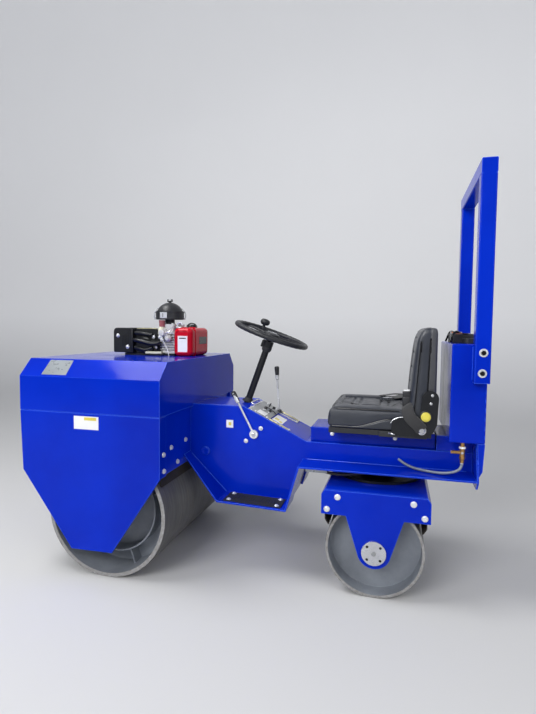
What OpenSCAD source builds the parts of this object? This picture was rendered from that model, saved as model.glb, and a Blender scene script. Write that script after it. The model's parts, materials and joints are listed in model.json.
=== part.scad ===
// Ride-on tandem road roller. A wide front drum turns under the engine box, a
// narrow rear drum turns in a steered yoke under the seat deck.
// +X is forward, +Y is the left side, +Z is up. The origin is on the floor.

/* [Drums] */
// Distance between the two drum axles
wheelbase = 1205; // [1195:1:1225]
// Outer radius of the front drum
front_drum_r = 300; // [292:1:306]
// Length of the front drum
front_drum_len = 932; // [900:1:938]
// Wall of the front drum shell
front_drum_wall = 18; // [12:1:24]
// Depth of the recess in each end of the front drum
front_recess = 150; // [110:1:165]
// Radius of the ring inside each end of the front drum
front_ring_r = 212; // [190:1:225]
// Outer radius of the rear drum
rear_drum_r = 210; // [200:1:214]
// Length of the rear drum
rear_drum_len = 622; // [590:1:626]
// Wall of the rear drum shell
rear_drum_wall = 12; // [8:1:16]
// Depth of the recess in each end of the rear drum
rear_recess = 78; // [60:1:95]
// Radius of the front stub axles
front_stub_r = 40; // [34:1:46]
// Radius of the rear stub axles
rear_stub_r = 27; // [22:1:32]
// Air between each end of the front drum and the side plates
drum_side_gap = 16; // [12:1:24]
// Radial clearance of each running fit
fit_gap = 0.1; // [0.05:0.01:0.1]

/* [Engine box] */
// Length of the box from its rear face to its front face
box_len = 724; // [716:1:740]
// Distance from the front axle back to the rear face of the box
box_behind = 289.5; // [286:0.5:294]
// Height of the flat top of the box
box_top = 1003; // [990:1:1020]
// Height of the seam under the bonnet
seam_z = 762; // [752:1:772]
// Height where the side bevels start
bevel_z = 925; // [905:1:940]
// Width of each side bevel
bevel_w = 76; // [60:1:94]
// Thickness of the bonnet sheet
bonnet_t = 5; // [3:0.5:6]
// Thickness of the side plates
side_t = 12; // [8:1:14]
// Width of the flange that each side plate turns onto the rear face
flange_w = 62; // [50:1:80]
// Thickness of the panels between the side plates
panel_t = 10; // [6:1:12]
// Air between the drum and the engine bed
bed_gap = 40; // [30:1:50]
// Air between the drum and the lower edge of the rear panel
panel_gap = 28; // [22:1:36]
// Depth of the seam groove
seam_groove = 2.5; // [1:0.5:2.5]

/* [Engine] */
// Lateral place of the near face of the engine
engine_y = 0; // [-10:1:10]
// Distance from the front axle forward to the engine's crank
engine_ahead = 37.5; // [30:0.5:45]
// Length of the engine block along the machine
block_len = 300; // [280:1:310]
// Width of the engine block across the machine
block_w = 210; // [200:1:220]
// Length of the fuel tank along the machine
fuel_len = 107; // [100:1:112]
// Width of the fuel tank across the machine
fuel_w = 250; // [230:1:260]
// Height of the fuel tank
fuel_h = 154; // [140:1:165]
// Diameter of the air cleaner
cleaner_d = 160; // [150:1:170]
// Height of the air cleaner above the bonnet top
cleaner_rise = 197; // [190:1:205]
// Length of the muffler along the machine
muffler_len = 121; // [110:1:130]
// Height of the muffler
muffler_h = 136; // [120:1:145]

/* [Centre frame] */
// Width over the centre frame's side plates
spine_w = 276; // [260:1:290]
// Thickness of the centre frame's side plates
spine_t = 8; // [6:1:10]
// Height of the top of the console
console_z = 775; // [768:1:784]
// Length of the flat console top behind the box
console_len = 268; // [255:1:280]
// Length of the console's sloped face along the machine
slope_len = 316; // [300:1:330]
// Height of the seat deck
deck_z = 622; // [616:1:630]
// Height of the running boards beside the seat deck
shelf_z = 540; // [534:1:548]
// Height of the foot wells' floor
step_z = 340; // [330:1:350]
// Thickness of the foot wells and running boards
tray_t = 8; // [6:1:10]
// Width over the running boards
tray_w = 572; // [550:1:590]
// Width over the foot wells where they meet the box
tray_front_w = 428; // [400:1:450]
// Distance from the rear axle back to the end of the running boards
frame_tail = 404.5; // [400:0.5:410]

/* [Seat and controls] */
// Width of the seat
seat_w = 470; // [440:1:480]
// Length of the seat cushion
cushion_len = 420; // [400:1:430]
// Height of the cushion above its pan
cushion_h = 100; // [85:1:115]
// Height of the seat base above the deck
seat_base_h = 68; // [55:1:75]
// Height of the backrest's top above the deck
seat_back_h = 553; // [530:1:570]
// Diameter of the steering wheel
wheel_d = 390; // [370:1:400]
// Diameter of the steering wheel's rim section
rim_d = 25; // [20:1:28]
// Tilt of the steering column from upright
column_tilt = 19.5; // [16:0.5:23]
// Length of the steering column up to the wheel
column_len = 372; // [360:1:385]
// Diameter of the steering column
column_d = 34; // [28:1:40]

/* [Water tank and roll bar] */
// Length of the water tank along the machine
water_len = 140; // [130:1:142]
// Width of the water tank
water_w = 526; // [510:1:540]
// Height of the water tank
water_h = 412; // [400:1:420]
// Height of the top of the roll bar
bar_top = 1830; // [1800:5:1860]
// Width of the roll bar's square tube
bar_tube = 60; // [50:1:60]
// Length of each roll bar post's foot beside the tank
bar_foot = 155; // [130:1:170]

/* [Rear yoke] */
// Air between each end of the rear drum and the yoke's side plates
yoke_gap = 11; // [8:1:16]
// Thickness of the yoke's side plates
yoke_t = 12; // [8:1:12]
// Height of the yoke head's top above the rear axle
yoke_rise = 254; // [250:1:258]
// Length of the yoke head along the machine
yoke_len = 456; // [440:1:464]
// Depth of the yoke head's side walls
yoke_drop = 107; // [95:1:115]
// Radius of the yoke plates' lower ends
yoke_tip_r = 71; // [65:1:78]
// Diameter of the rear hub flanges
hub_d = 104; // [98:1:112]
// Bolt circle of the rear hub flanges
hub_pcd = 78; // [74:1:80]
// Radius of the slewing ring on the yoke head
slew_r = 200; // [180:1:205]
// Radius of the king pin
king_r = 30; // [26:1:36]
// Distance from the steering axis to the steering rod's eye
steer_arm = 200; // [180:1:204]

/* [Hidden] */
$fn = 64;

blue = [0.02, 0.10, 0.70];
steel = [0.55, 0.56, 0.58];
drum_grey = [0.42, 0.43, 0.44];
zinc = [0.78, 0.78, 0.80];
black = [0.08, 0.08, 0.09];
seat_black = [0.16, 0.17, 0.19];
red = [0.80, 0.04, 0.06];
rust = [0.22, 0.16, 0.12];

// Places along the machine
front_x = wheelbase / 2;
rear_x = -wheelbase / 2;
box_x0 = front_x - box_behind;
box_x1 = box_x0 + box_len;
tail_x = rear_x - frame_tail;

// Half widths and inner faces
box_w = front_drum_len + 2 * (drum_side_gap + side_t);
top_w = box_w - 2 * bevel_w;
yoke_w = rear_drum_len + 2 * (yoke_gap + yoke_t);
box_y = box_w / 2;
box_in = box_y - side_t;
spine_y = spine_w / 2;
spine_in = spine_y - spine_t;

// Front box
flange_t = side_t;
panel_x = box_x0 + flange_t;
panel_in = panel_x + panel_t;
panel_low = front_drum_r + sqrt(pow(front_drum_r + panel_gap, 2) - pow(front_x - panel_in, 2));
bed_z = 2 * front_drum_r + bed_gap;
nose_lean = 11;
nose_low = front_drum_r + 179;
tip_low = front_drum_r - 175;
tip_x0 = front_x - 47.5;
tip_x1 = front_x + 162.5;

// Console slope, from its top corner to the seat deck
slope_x0 = box_x0 - console_len;
slope_x1 = slope_x0 - slope_len;
slope_a = atan((console_z - deck_z) / slope_len);
skin_t = 6;

// Foot wells: the line of their floor, as X and Z
step_x0 = box_x0 - 187;
step_x1 = step_x0 - 326;
step_rise = 58;
well_a = atan((shelf_z - 20 - step_z) / (box_x0 - step_x0));
well_line = [
  [panel_x, shelf_z - 15 + flange_t * tan(well_a)], [step_x0, step_z + 5], [step_x1, step_z - 6],
  [step_x1 - step_rise, shelf_z], [tail_x, shelf_z]
];

// Seat
seat_x0 = slope_x1 - 15;
base_z = deck_z + seat_base_h;
pan_t = 26;
cushion_x0 = slope_x1 - 108;
cushion_x1 = cushion_x0 - cushion_len;
cushion_z0 = base_z + pan_t + 0.3;
cushion_z1 = cushion_z0 + cushion_h;
back_x = cushion_x1 + 72;

// Water tank behind the seat
water_x1 = tail_x - 30;
water_x0 = water_x1 + water_len;
water_z0 = deck_z + seat_base_h;
water_z1 = water_z0 + water_h;
bar_x1 = water_x1;
bar_x0 = bar_x1 + bar_tube;
bar_y = water_w / 2 + bar_tube;
foot_z = water_z1 - bar_foot;

// Rear yoke
yoke_top = rear_drum_r + yoke_rise;
yoke_low = yoke_top - yoke_drop;
yoke_in = yoke_w / 2 - yoke_t;
slew_gap = 0.5;
ring_t = 12;
ring_top = yoke_top + ring_t;
steer_z = (ring_top + shelf_z - tray_t) / 2;

// Steering column, measured from its foot on the console top
column_x = slope_x0 + 21;

// Drain hose under the water tank's tap, as X, Y and Z
hose_d = 12;
hose_route = [
  [-952, 240, 602], [-951, 241, 590], [-944, 244, 577], [-930, 245, 566], [-910, 243, 558],
  [-885, 238, 552], [-855, 230, 549], [-825, 218, 548], [-795, 204, 548], [-765, 190, 550],
  [-738, 178, 556], [-714, 168, 566], [-694, 160, 578]
];

// ---------------------------------------------------------------- helpers

// Extrude an X-Z outline along Y, from y0 to y1
module slab(y0, y1) {
  translate([0, y1, 0]) rotate([90, 0, 0]) linear_extrude(y1 - y0) children();
}

// Block between two corners
module block(a, b) { translate(a) cube(b - a); }

// Block with its four edges along Z rounded
module round_block(a, b, r) {
  s = b - a;
  translate(a) {
    translate([r, 0, 0]) cube([s[0] - 2 * r, s[1], s[2]]);
    translate([0, r, 0]) cube([s[0], s[1] - 2 * r, s[2]]);
    for (x = [r, s[0] - r], y = [r, s[1] - r]) translate([x, y, 0]) cylinder(r = r, h = s[2]);
  }
}

// Cylinder along Y between two stations
module y_rod(r, y0, y1) { translate([0, y1, 0]) rotate([90, 0, 0]) cylinder(r = r, h = y1 - y0); }

// Round bar between two points
module bar(a, b, r) {
  v = b - a;
  len = norm(v);
  translate(a) rotate([0, acos(v[2] / len), atan2(v[1], v[0])]) cylinder(r = r, h = len);
}

// A point on a line of X-Z points, moved square to it by d
function unit(v) = v / norm(v);
function left_of(v) = [-v[1], v[0]];
function cross2(a, b) = a[0] * b[1] - a[1] * b[0];
// Where two lines cross, each given by a point and a direction
function meet(p, u, q, v) = p + u * (cross2(q - p, v) / cross2(u, v));
// The line moved square to itself by d, its two ends kept at their own X
function shifted(line, d) = [
  for (i = [0 : len(line) - 1])
    let (
      u = i == 0 ? [0, 1] : unit(line[i] - line[i - 1]),
      v = i == len(line) - 1 ? [0, 1] : unit(line[i + 1] - line[i]),
      p = i == 0 ? line[0] : line[i] + left_of(u) * d,
      q = i == len(line) - 1 ? line[i] : line[i] + left_of(v) * d
    )
    meet(p, u, q, v)
];
function reversed(line) = [for (i = [len(line) - 1 : -1 : 0]) line[i]];

// ---------------------------------------------------------------- engine box

module box_outline(inset) {
  y = box_y - inset;
  t = top_w / 2 - inset * 0.6;
  polygon([
    [-y, seam_z], [-y, bevel_z - inset * 0.5], [-t, box_top - inset],
    [t, box_top - inset], [y, bevel_z - inset * 0.5], [y, seam_z]
  ]);
}

// Extrude a Y-Z outline along X, from x0 to x1
module rib(x0, x1) { translate([x0, 0, 0]) rotate([90, 0, 90]) linear_extrude(x1 - x0) children(); }

crank_x = front_x + engine_ahead;
opening_x0 = crank_x - block_len / 2 - 8;
opening_x1 = crank_x + block_len / 2 + 8;
opening_y0 = engine_y - 20 - block_w - 8;
opening_y1 = engine_y - 12;

module bonnet() color(blue) difference() {
  rib(box_x0, box_x1) box_outline(0);
  rib(box_x0 + bonnet_t, box_x1 - bonnet_t) translate([0, -1]) box_outline(bonnet_t);
  block([opening_x0, opening_y0, box_top - 2 * bonnet_t], [opening_x1, opening_y1, box_top + 1]);
  difference() {
    block([box_x0 - 1, -box_y - 1, seam_z - 1], [box_x1 + 1, box_y + 1, seam_z + seam_groove]);
    block([box_x0 + seam_groove, seam_groove - box_y, seam_z - 2],
      [box_x1 - seam_groove, box_y - seam_groove, seam_z + seam_groove + 1]);
  }
}

module side_outline() polygon([
  [box_x1, seam_z], [box_x1 - nose_lean, nose_low], [tip_x1, tip_low], [tip_x0, tip_low + 4],
  [box_x0, panel_low], [box_x0, seam_z]
]);

module side_plate(side) color(blue) {
  y0 = side > 0 ? box_in : -box_y;
  slab(y0, y0 + side_t) side_outline();
  f0 = side > 0 ? box_y - flange_w : -box_in;
  block([box_x0, f0, panel_low], [box_x0 + flange_t, f0 + flange_w - side_t, seam_z]);
}

module front_panel() color(blue) slab(-box_in, box_in) polygon([
  [box_x1, seam_z], [box_x1 - nose_lean, nose_low],
  [box_x1 - nose_lean - panel_t, nose_low], [box_x1 - panel_t, seam_z]
]);

module rear_panel() color(blue)
  block([panel_x, -box_in, panel_low], [panel_in, box_in, seam_z]);

module engine_bed() color(blue)
  block([panel_in, -box_in, bed_z], [box_x1 - nose_lean - panel_t, box_in, bed_z + panel_t]);

// Plate, spindle and its collar that carry one end of the front drum
carrier_gap = 60;
hub_depth = 34;
module hub_carrier(side) color(steel) translate([front_x, 0, front_drum_r])
  mirror([0, side > 0 ? 0 : 1, 0]) {
    face = front_drum_len / 2 - front_recess;
    y_rod(95, box_in - 9, box_in);
    y_rod(front_stub_r + 16, face + carrier_gap, box_in - 9);
    y_rod(front_stub_r, face - hub_depth, face + carrier_gap);
  }

// ---------------------------------------------------------------- front drum

disc_t = 12;
module drum(r, len, wall, recess, ring, stub, hub) {
  end = len / 2;
  face = end - recess;
  difference() {
    y_rod(r, -end, end);
    y_rod(r - wall, -end - 1, end + 1);
  }
  for (s = [0, 1]) mirror([0, s, 0]) difference() {
    union() {
      y_rod(r - wall, face - disc_t, face);
      y_rod(hub, face - disc_t - 14, face + 12);
      if (ring > 0) difference() {
        y_rod(ring, face, face + 70);
        y_rod(ring - 8, face - 1, face + 71);
      }
    }
    y_rod(stub + fit_gap, face - disc_t - 15, face + 13);
  }
}

module front_drum() color(drum_grey) translate([front_x, 0, front_drum_r]) {
  drum(front_drum_r, front_drum_len, front_drum_wall, front_recess, front_ring_r,
    front_stub_r, front_stub_r + 34);
  face = front_drum_len / 2 - front_recess;
  for (s = [0, 1], a = [20 : 90 : 290]) mirror([0, s, 0]) rotate([0, a, 0])
    block([front_ring_r - 1, face - 1, -4], [front_drum_r - front_drum_wall + 1, face + 58, 4]);
}

// Scraper hung from the rear panel, its blade just off the drum
scrape_gap = 6;
scrape_a = 151;
module front_scraper() color(rust) {
  r = front_drum_r + scrape_gap;
  tip = [front_x + r * cos(scrape_a), front_drum_r + r * sin(scrape_a)];
  heel = [front_x + (r + 5) * cos(scrape_a + 2), front_drum_r + (r + 5) * sin(scrape_a + 2)];
  slab(-front_drum_len / 2 + 14, front_drum_len / 2 - 14) polygon([
    [panel_in, panel_low + 40], [panel_in, panel_low - 8], heel, tip,
    [panel_in + 7, panel_low - 2], [panel_in + 7, panel_low + 40]
  ]);
}

// ---------------------------------------------------------------- engine

block_y1 = engine_y - 20;
block_y0 = block_y1 - block_w;
block_top = box_top + 12;

module engine_block() color(black)
  block([crank_x - block_len / 2, block_y0, bed_z + panel_t],
    [crank_x + block_len / 2, block_y1, block_top]);

head_x0 = crank_x - block_len / 2 + 4;
head_x1 = head_x0 + 86;
fin_pitch = 14;
fin_t = 5;
module cylinder_head() color(steel) {
  difference() {
    block([head_x0, block_y0 + 40, block_top], [head_x1, block_y1 - 10, box_top + 132]);
    for (z = [block_top + 12 : fin_pitch : box_top + 118]) {
      block([head_x0 - 1, block_y0, z], [head_x1 + 1, block_y0 + 54, z + fin_pitch - fin_t]);
      block([head_x0 - 1, block_y1 - 26, z], [head_x1 + 1, block_y1, z + fin_pitch - fin_t]);
    }
  }
  round_block([head_x0 + 4, block_y0 + 52, box_top + 131], [head_x1 - 4, block_y1 - 14, box_top + 172], 12);
}

shroud_x1 = crank_x + block_len / 2 - 62;
module engine_shroud() color(black) translate([0, block_y1 - 4, 0]) rotate([90, 0, 0])
  round_block([head_x1, block_top, 0], [shroud_x1, box_top + 146, block_w - 12], 16);

muffler_x1 = shroud_x1 + muffler_len;
slots = 5;
module muffler() color(black) difference() {
  translate([0, engine_y, 0]) rotate([90, 0, 0])
    round_block([shroud_x1, box_top + 14, 0], [muffler_x1, box_top + 14 + muffler_h, 200], 14);
  for (i = [0 : slots - 1]) block([shroud_x1 + 30 + i * 15, engine_y - 4, box_top + 40],
    [shroud_x1 + 37 + i * 15, engine_y + 1, box_top + 110]);
}

cleaner_x = crank_x - 96;
cleaner_y = engine_y - 78;
cleaner_band = 46;
cleaner_dome = 18;
module air_cleaner() color(black) translate([cleaner_x, cleaner_y, box_top + 172]) {
  cylinder(r = 26, h = cleaner_rise - 172 + 1);
  translate([0, 0, cleaner_rise - 172]) {
    r = cleaner_d / 2;
    rotate_extrude() {
      square([r - 3, cleaner_band]);
      translate([0, 3]) square([r, 8]);
      translate([0, cleaner_band - 9]) square([r, 9]);
      intersection() {
        translate([0, cleaner_dome]) circle(r = r - 4);
        square([r, r + cleaner_dome]);
      }
    }
    // Stud and wing nut on the dome
    translate([0, 0, r + cleaner_dome - 6]) {
      cylinder(r = 8, h = 10);
      cylinder(r = 3, h = 24);
      for (s = [0, 180]) rotate([0, 0, s]) block([4, -2, 6], [16, 2, 20]);
    }
  }
}

fuel_x1 = crank_x - block_len / 2 - 1;
fuel_r = 20;
module fuel_tank() color(red) {
  x0 = fuel_x1 - fuel_len;
  translate([0, engine_y, 0]) intersection() {
    rotate([90, 0, 0]) round_block([x0, box_top, 0], [fuel_x1, box_top + fuel_h, fuel_w], fuel_r);
    round_block([x0, -fuel_w, box_top], [fuel_x1, 0, box_top + fuel_h], fuel_r);
    translate([x0, 0, 0]) rotate([90, 0, 90])
      round_block([-fuel_w, box_top, 0], [0, box_top + fuel_h, fuel_len], fuel_r);
  }
  // Filler neck and cap, and the seam where the two halves meet
  translate([x0 + fuel_len * 0.55, engine_y - fuel_w * 0.55, box_top + fuel_h - 1]) cylinder(r = 27, h = 19);
  translate([0, engine_y - fuel_w * 0.22, 0]) rotate([90, 0, 0])
    round_block([x0 - 3, box_top, 0], [fuel_x1, box_top + fuel_h + 3, 4], fuel_r + 2);
}

// ---------------------------------------------------------------- centre frame

module spine_outline() polygon(concat(
  [[panel_x, seam_z - 1], [box_x0, seam_z - 1], [box_x0, console_z]],
  [[slope_x0, console_z], [slope_x1, deck_z], [tail_x, deck_z]],
  reversed(shifted(well_line, tray_t))
));

boss_r = 20;
module spine_plate(side) color(blue) {
  y0 = side > 0 ? spine_in : -spine_y;
  slab(y0, y0 + spine_t) spine_outline();
  if (side > 0) difference() {
    translate([box_x0 - 72, 0, shelf_z + 1]) y_rod(boss_r, spine_y - 1, spine_y + 8);
    translate([box_x0 - 72, 0, shelf_z + 1]) y_rod(boss_r - 7, spine_y + 3, spine_y + 9);
  }
}

module console_top() color(blue) slab(-spine_in, spine_in) {
  line = [[box_x0, console_z], [slope_x0, console_z], [slope_x1, deck_z]];
  polygon(concat(line, reversed(shifted(line, skin_t))));
}

module belly_plate() color(blue) slab(-spine_in, spine_in)
  polygon(concat(well_line, reversed(shifted(well_line, -skin_t))));

module deck() color(blue)
  block([tail_x, -spine_in, deck_z - skin_t], [slope_x1, spine_in, deck_z]);

// Foot well and running board on one side, one bent plate
module tray(side) color(blue) mirror([0, side > 0 ? 0 : 1, 0]) intersection() {
  slab(spine_y, tray_w / 2) polygon(concat(well_line, reversed(shifted(well_line, tray_t))));
  translate([0, 0, step_z - 60]) linear_extrude(shelf_z - step_z + 120) polygon([
    [panel_x, 0], [panel_x, tray_front_w / 2], [step_x0, tray_w / 2],
    [tail_x, tray_w / 2], [tail_x, 0]
  ]);
}

mat_t = 4;
module mats() color(black) for (s = [0, 1]) mirror([0, s, 0]) {
  floor_a = atan((well_line[1][1] - well_line[2][1]) / (step_x0 - step_x1));
  translate([step_x1, 0, well_line[2][1]]) rotate([0, -floor_a, 0])
    block([22, spine_y + 18, 0.2], [step_x0 - step_x1 - 26, tray_w / 2 - 14, mat_t]);
}

// Switch panel and lever gate on the console's slope
module on_slope() translate([slope_x0, 0, console_z]) rotate([0, -slope_a, 0]) mirror([1, 0, 0]) children();

panel_s0 = 24;
panel_s1 = 252;
gate_s0 = 128;
gate_y = -96;
module dash_panel() color(zinc) on_slope() difference() {
  block([panel_s0, -spine_in, 0], [panel_s1, spine_in, 3]);
  block([gate_s0, gate_y - 9, -1], [panel_s1 - 14, gate_y + 9, 4]);
  block([gate_s0, gate_y + 24, -1], [panel_s1 + 1, spine_in - 14, 4]);
}

// ---------------------------------------------------------------- controls

module on_column() translate([column_x, 0, console_z]) rotate([0, -column_tilt, 0]) children();
foot_drop = column_d * tan(column_tilt);

module steering_column() color(black) {
  difference() {
    on_column() translate([0, 0, -foot_drop]) cylinder(d = column_d, h = column_len - 40 + foot_drop);
    block([column_x - 100, -100, console_z - 100], [column_x + 100, 100, console_z]);
  }
  on_column() translate([0, 0, column_len - 70]) difference() {
    cylinder(d = column_d + 16, h = 34);
    translate([0, 0, -1]) cylinder(d = column_d - 4, h = 36);
  }
  on_column() translate([0, 0, column_len - 41]) cylinder(d = 18, h = 26);
}

spoke_angles = [90, 210, 330];
knob_angle = 301;
knob_d = 52;
module steering_wheel() color(black) on_column() translate([0, 0, column_len]) {
  rim_c = (wheel_d - rim_d) / 2;
  rotate_extrude() translate([rim_c, 0]) circle(d = rim_d, $fn = 32);
  difference() {
    union() {
      translate([0, 0, -30]) cylinder(d1 = 60, d2 = 118, h = 22);
      translate([0, 0, -20]) cylinder(d = 84, h = 30);
    }
    translate([0, 0, -31]) cylinder(d = 18 + 2 * fit_gap, h = 18);
  }
  for (a = spoke_angles) rotate([0, 0, a]) block([36, -13, -9], [rim_c, 13, 1]);
  rotate([0, 0, knob_angle]) translate([rim_c, 0, 0]) {
    cylinder(d = 14, h = 38);
    translate([0, 0, 22]) cylinder(d1 = 30, d2 = knob_d, h = 12);
    translate([0, 0, 34]) cylinder(d = knob_d, h = 10);
    translate([0, 0, 44]) cylinder(d1 = knob_d, d2 = knob_d - 20, h = 9);
  }
}

module side_lever() {
  p = [slope_x0 - 57, deck_z + 20];
  q = [slope_x0 + 49, console_z + 63];
  y = spine_y + 8;
  grip = q - 50 * unit(q - p);
  color(zinc) translate([p[0], 0, p[1]]) y_rod(21, spine_y, spine_y + 14);
  color(zinc) bar([p[0], y, p[1]], [q[0], y, q[1]], 5);
  color(black) bar([grip[0], y, grip[1]], [q[0], y, q[1]], 10);
}

module drive_lever() {
  x = slope_x0 - 125;
  z = console_z - 125 * tan(slope_a);
  color(zinc) bar([x, gate_y, z + 3], [x + 13, gate_y, console_z + 128], 5);
  color(black) bar([x + 12, gate_y, console_z + 116], [x + 16, gate_y, console_z + 178], 10);
}

// ---------------------------------------------------------------- seat

module seat_base() color(blue)
  block([cushion_x1 - 55, -110, deck_z], [seat_x0, 110, base_z]);

bracket_y = seat_w / 2 + 1;
module seat_pan() color(black) {
  block([cushion_x1 - 30, -seat_w / 2 + 18, base_z], [cushion_x0 - 6, seat_w / 2 - 18, base_z + pan_t]);
  block([cushion_x1 - 10, -bracket_y, base_z], [cushion_x1 + 190, bracket_y, base_z + pan_t]);
}

module seat_cushion() color(seat_black) translate([0, seat_w / 2, 0]) rotate([90, 0, 0])
  round_block([back_x + 0.3, cushion_z0, 0], [cushion_x0, cushion_z1, seat_w], 36);

back_r = 26;
back_low = cushion_z0 + 26;
module seat_back() color(seat_black) {
  y = bracket_y - 0.3 - back_r;
  top = deck_z + seat_back_h - back_r;
  rear = back_x - 122 + back_r;
  hull() for (s = [-1, 1], p = [
    [rear, back_low + back_r], [back_x - back_r, back_low + back_r],
    [rear, top], [back_x - 30 - back_r, top - 12]
  ]) translate([p[0], s * y, p[1]]) sphere(r = back_r, $fn = 16);
}

recliner_r = 35;
module seat_brackets() color(black) for (s = [0, 1]) mirror([0, s, 0]) difference() {
  x0 = cushion_x1 - 20;
  top = base_z + 176;
  union() {
    slab(bracket_y, bracket_y + 8) polygon([
      [cushion_x1 + 139, base_z + 12], [cushion_x1 + 136, base_z + 66], [cushion_x1 + 124, base_z + 80],
      [cushion_x1 + 104, base_z + 90], [cushion_x1 + 78, base_z + 95], [cushion_x1 + 20, base_z + 98],
      [x0 + recliner_r, top], [x0 - recliner_r, top], [cushion_x1 - 50, base_z + 66],
      [cushion_x1 - 34, base_z + 30], [cushion_x1 - 14, base_z + 6]
    ]);
    translate([x0, 0, top]) y_rod(recliner_r, bracket_y, bracket_y + 8);
  }
  translate([cushion_x1 - 2, 0, base_z + 99]) y_rod(7, bracket_y - 1, bracket_y + 9);
}

// ---------------------------------------------------------------- water tank

module tank_stand() color(blue)
  block([tail_x, -spine_in, deck_z], [cushion_x1 - 58, spine_in, water_z0]);

module water_tank() color(blue)
  block([water_x1, -water_w / 2, water_z0], [water_x0, water_w / 2, water_z1]);

module battery() color(black) {
  round_block([water_x1 + 16, -100, water_z1], [water_x0 - 16, 90, water_z1 + 40], 6);
  translate([water_x1 + 62, 130, water_z1]) cylinder(r = 26, h = 22);
}

module roll_bar() color(blue) {
  t = bar_tube;
  for (s = [0, 1]) mirror([0, s, 0])
    round_block([bar_x1, bar_y - t, foot_z], [bar_x0, bar_y, bar_top - t], 5);
  translate([0, 0, bar_top]) rotate([-90, 0, 0])
    round_block([bar_x1, 0, -bar_y], [bar_x0, t, bar_y], 5);
}

tank_y = water_w / 2;
gusset_y = tank_y - 12;
module tail_plate() color(blue) {
  rib(tail_x - 8, tail_x) polygon([
    [-tray_w / 2, shelf_z - tray_t], [-tray_w / 2, shelf_z + 4], [-tank_y + 6, deck_z - 16],
    [-tank_y + 50, water_z0], [tank_y - 50, water_z0], [tank_y - 6, deck_z - 16],
    [tray_w / 2, shelf_z + 4], [tray_w / 2, shelf_z - tray_t], [tray_w / 2 - 30, shelf_z - 42],
    [30 - tray_w / 2, shelf_z - 42]
  ]);
  // Gussets from the plate's wings up to the water tank
  for (s = [0, 1]) mirror([0, s, 0]) slab(gusset_y, gusset_y + 8) polygon([
    [tail_x - 7, shelf_z + 2], [tail_x - 24, shelf_z + 34], [water_x1, water_z0], [tail_x, water_z0],
    [tail_x - 7, shelf_z + 60]
  ]);
}

// ---------------------------------------------------------------- drain and hoses

// The tap hangs under the tank; the hose starts at its spout and keeps its place beside it
tap_x = water_x1 + 85;
tap_y = water_w / 2 - 23;
tap_drop = 28;
tap_h = 42;
spout_h = 18;
hose_at = [tap_x, tap_y, water_z0 - tap_drop - tap_h - spout_h] - [-952, 240, 602];
module drain_tap() translate([tap_x, tap_y, water_z0 - tap_drop]) {
  color(blue) cylinder(r = 9, h = tap_drop);
  color([0.75, 0.55, 0.25]) {
    translate([0, 0, -tap_h]) cylinder(r = 10, h = tap_h);
    translate([0, 0, 1 - tap_h - spout_h]) cylinder(r = 7, h = spout_h);
    bar([0, 0, -16], [40, 0, -16], 7);
  }
}

// Tube swept along a route of points
module swept_tube(route, d, sides) {
  n = len(route);
  dir = [for (i = [0 : n - 1]) unit(route[min(i + 1, n - 1)] - route[max(i - 1, 0)])];
  rings = [for (i = [0 : n - 1])
    let (u = unit(cross(dir[i], [0, 1, 0])), w = cross(u, dir[i]))
    [for (k = [0 : sides - 1])
      route[i] + (u * cos(360 * k / sides) + w * sin(360 * k / sides)) * d / 2]];
  points = [for (ring = rings) each ring];
  faces = concat(
    [[for (k = [sides - 1 : -1 : 0]) k]],
    [for (i = [0 : n - 2], k = [0 : sides - 1])
      [i * sides + k, i * sides + (k + 1) % sides, (i + 1) * sides + (k + 1) % sides, (i + 1) * sides + k]],
    [[for (k = [0 : sides - 1]) (n - 1) * sides + k]]
  );
  polyhedron(points = points, faces = [for (f = faces) reversed(f)]);
}

module drain_hose() color([0.6, 0.62, 0.65]) translate(hose_at) swept_tube(hose_route, hose_d, 10);

// Hydraulic hose held at both ends under the running board, sagging between
deck_hose_d = 14;
deck_hose_sag = 28;
module deck_hose() color(black) {
  x0 = slope_x1 - 4;
  x1 = rear_x + 12;
  z = shelf_z - tray_t - deck_hose_d / 2 - 0.2;
  swept_tube([for (t = [0 : 1 / 14 : 1.001])
    [x0 + (x1 - x0) * t, spine_y + 50 + 14 * sin(180 * t), z - deck_hose_sag * sin(180 * t)]],
    deck_hose_d, 10);
}

// ---------------------------------------------------------------- steering gear

module slew_mount() color(steel) translate([rear_x, 0, 0]) {
  block([-150, -120, shelf_z - 24], [150, 120, shelf_z]);
  translate([0, 0, ring_top + slew_gap]) cylinder(r = 76, h = shelf_z - 24 - ring_top - slew_gap);
  translate([0, 0, yoke_top - 30]) cylinder(r = king_r, h = ring_top + slew_gap - yoke_top + 30);
}

barrel_r = 20;
eye_h = 22;
pin_gap = 5;
barrel_x1 = rear_x + 150;
barrel_x0 = rear_x + 300;
rod_r = 11;
module steer_barrel() color(black) translate([0, -steer_arm, steer_z]) {
  difference() {
    rotate([0, 90, 0]) translate([0, 0, barrel_x1]) cylinder(r = barrel_r, h = barrel_x0 - barrel_x1);
    rotate([0, 90, 0]) translate([0, 0, barrel_x1 - 1])
      cylinder(r = rod_r + fit_gap, h = barrel_x0 - barrel_x1 - 14);
  }
  block([barrel_x0 - 30, -14, barrel_r - 4], [barrel_x0 - 2, 14, shelf_z - tray_t - steer_z]);
}

module steer_rod() color(zinc) translate([0, -steer_arm, steer_z]) {
  rotate([0, 90, 0]) translate([0, 0, rear_x + 20]) cylinder(r = rod_r, h = 175);
  translate([rear_x, 0, -eye_h / 2]) cylinder(r = 25, h = eye_h);
  translate([rear_x, 0, eye_h / 2 - 1]) cylinder(r = 14, h = 7);
}

// ---------------------------------------------------------------- rear yoke

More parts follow.
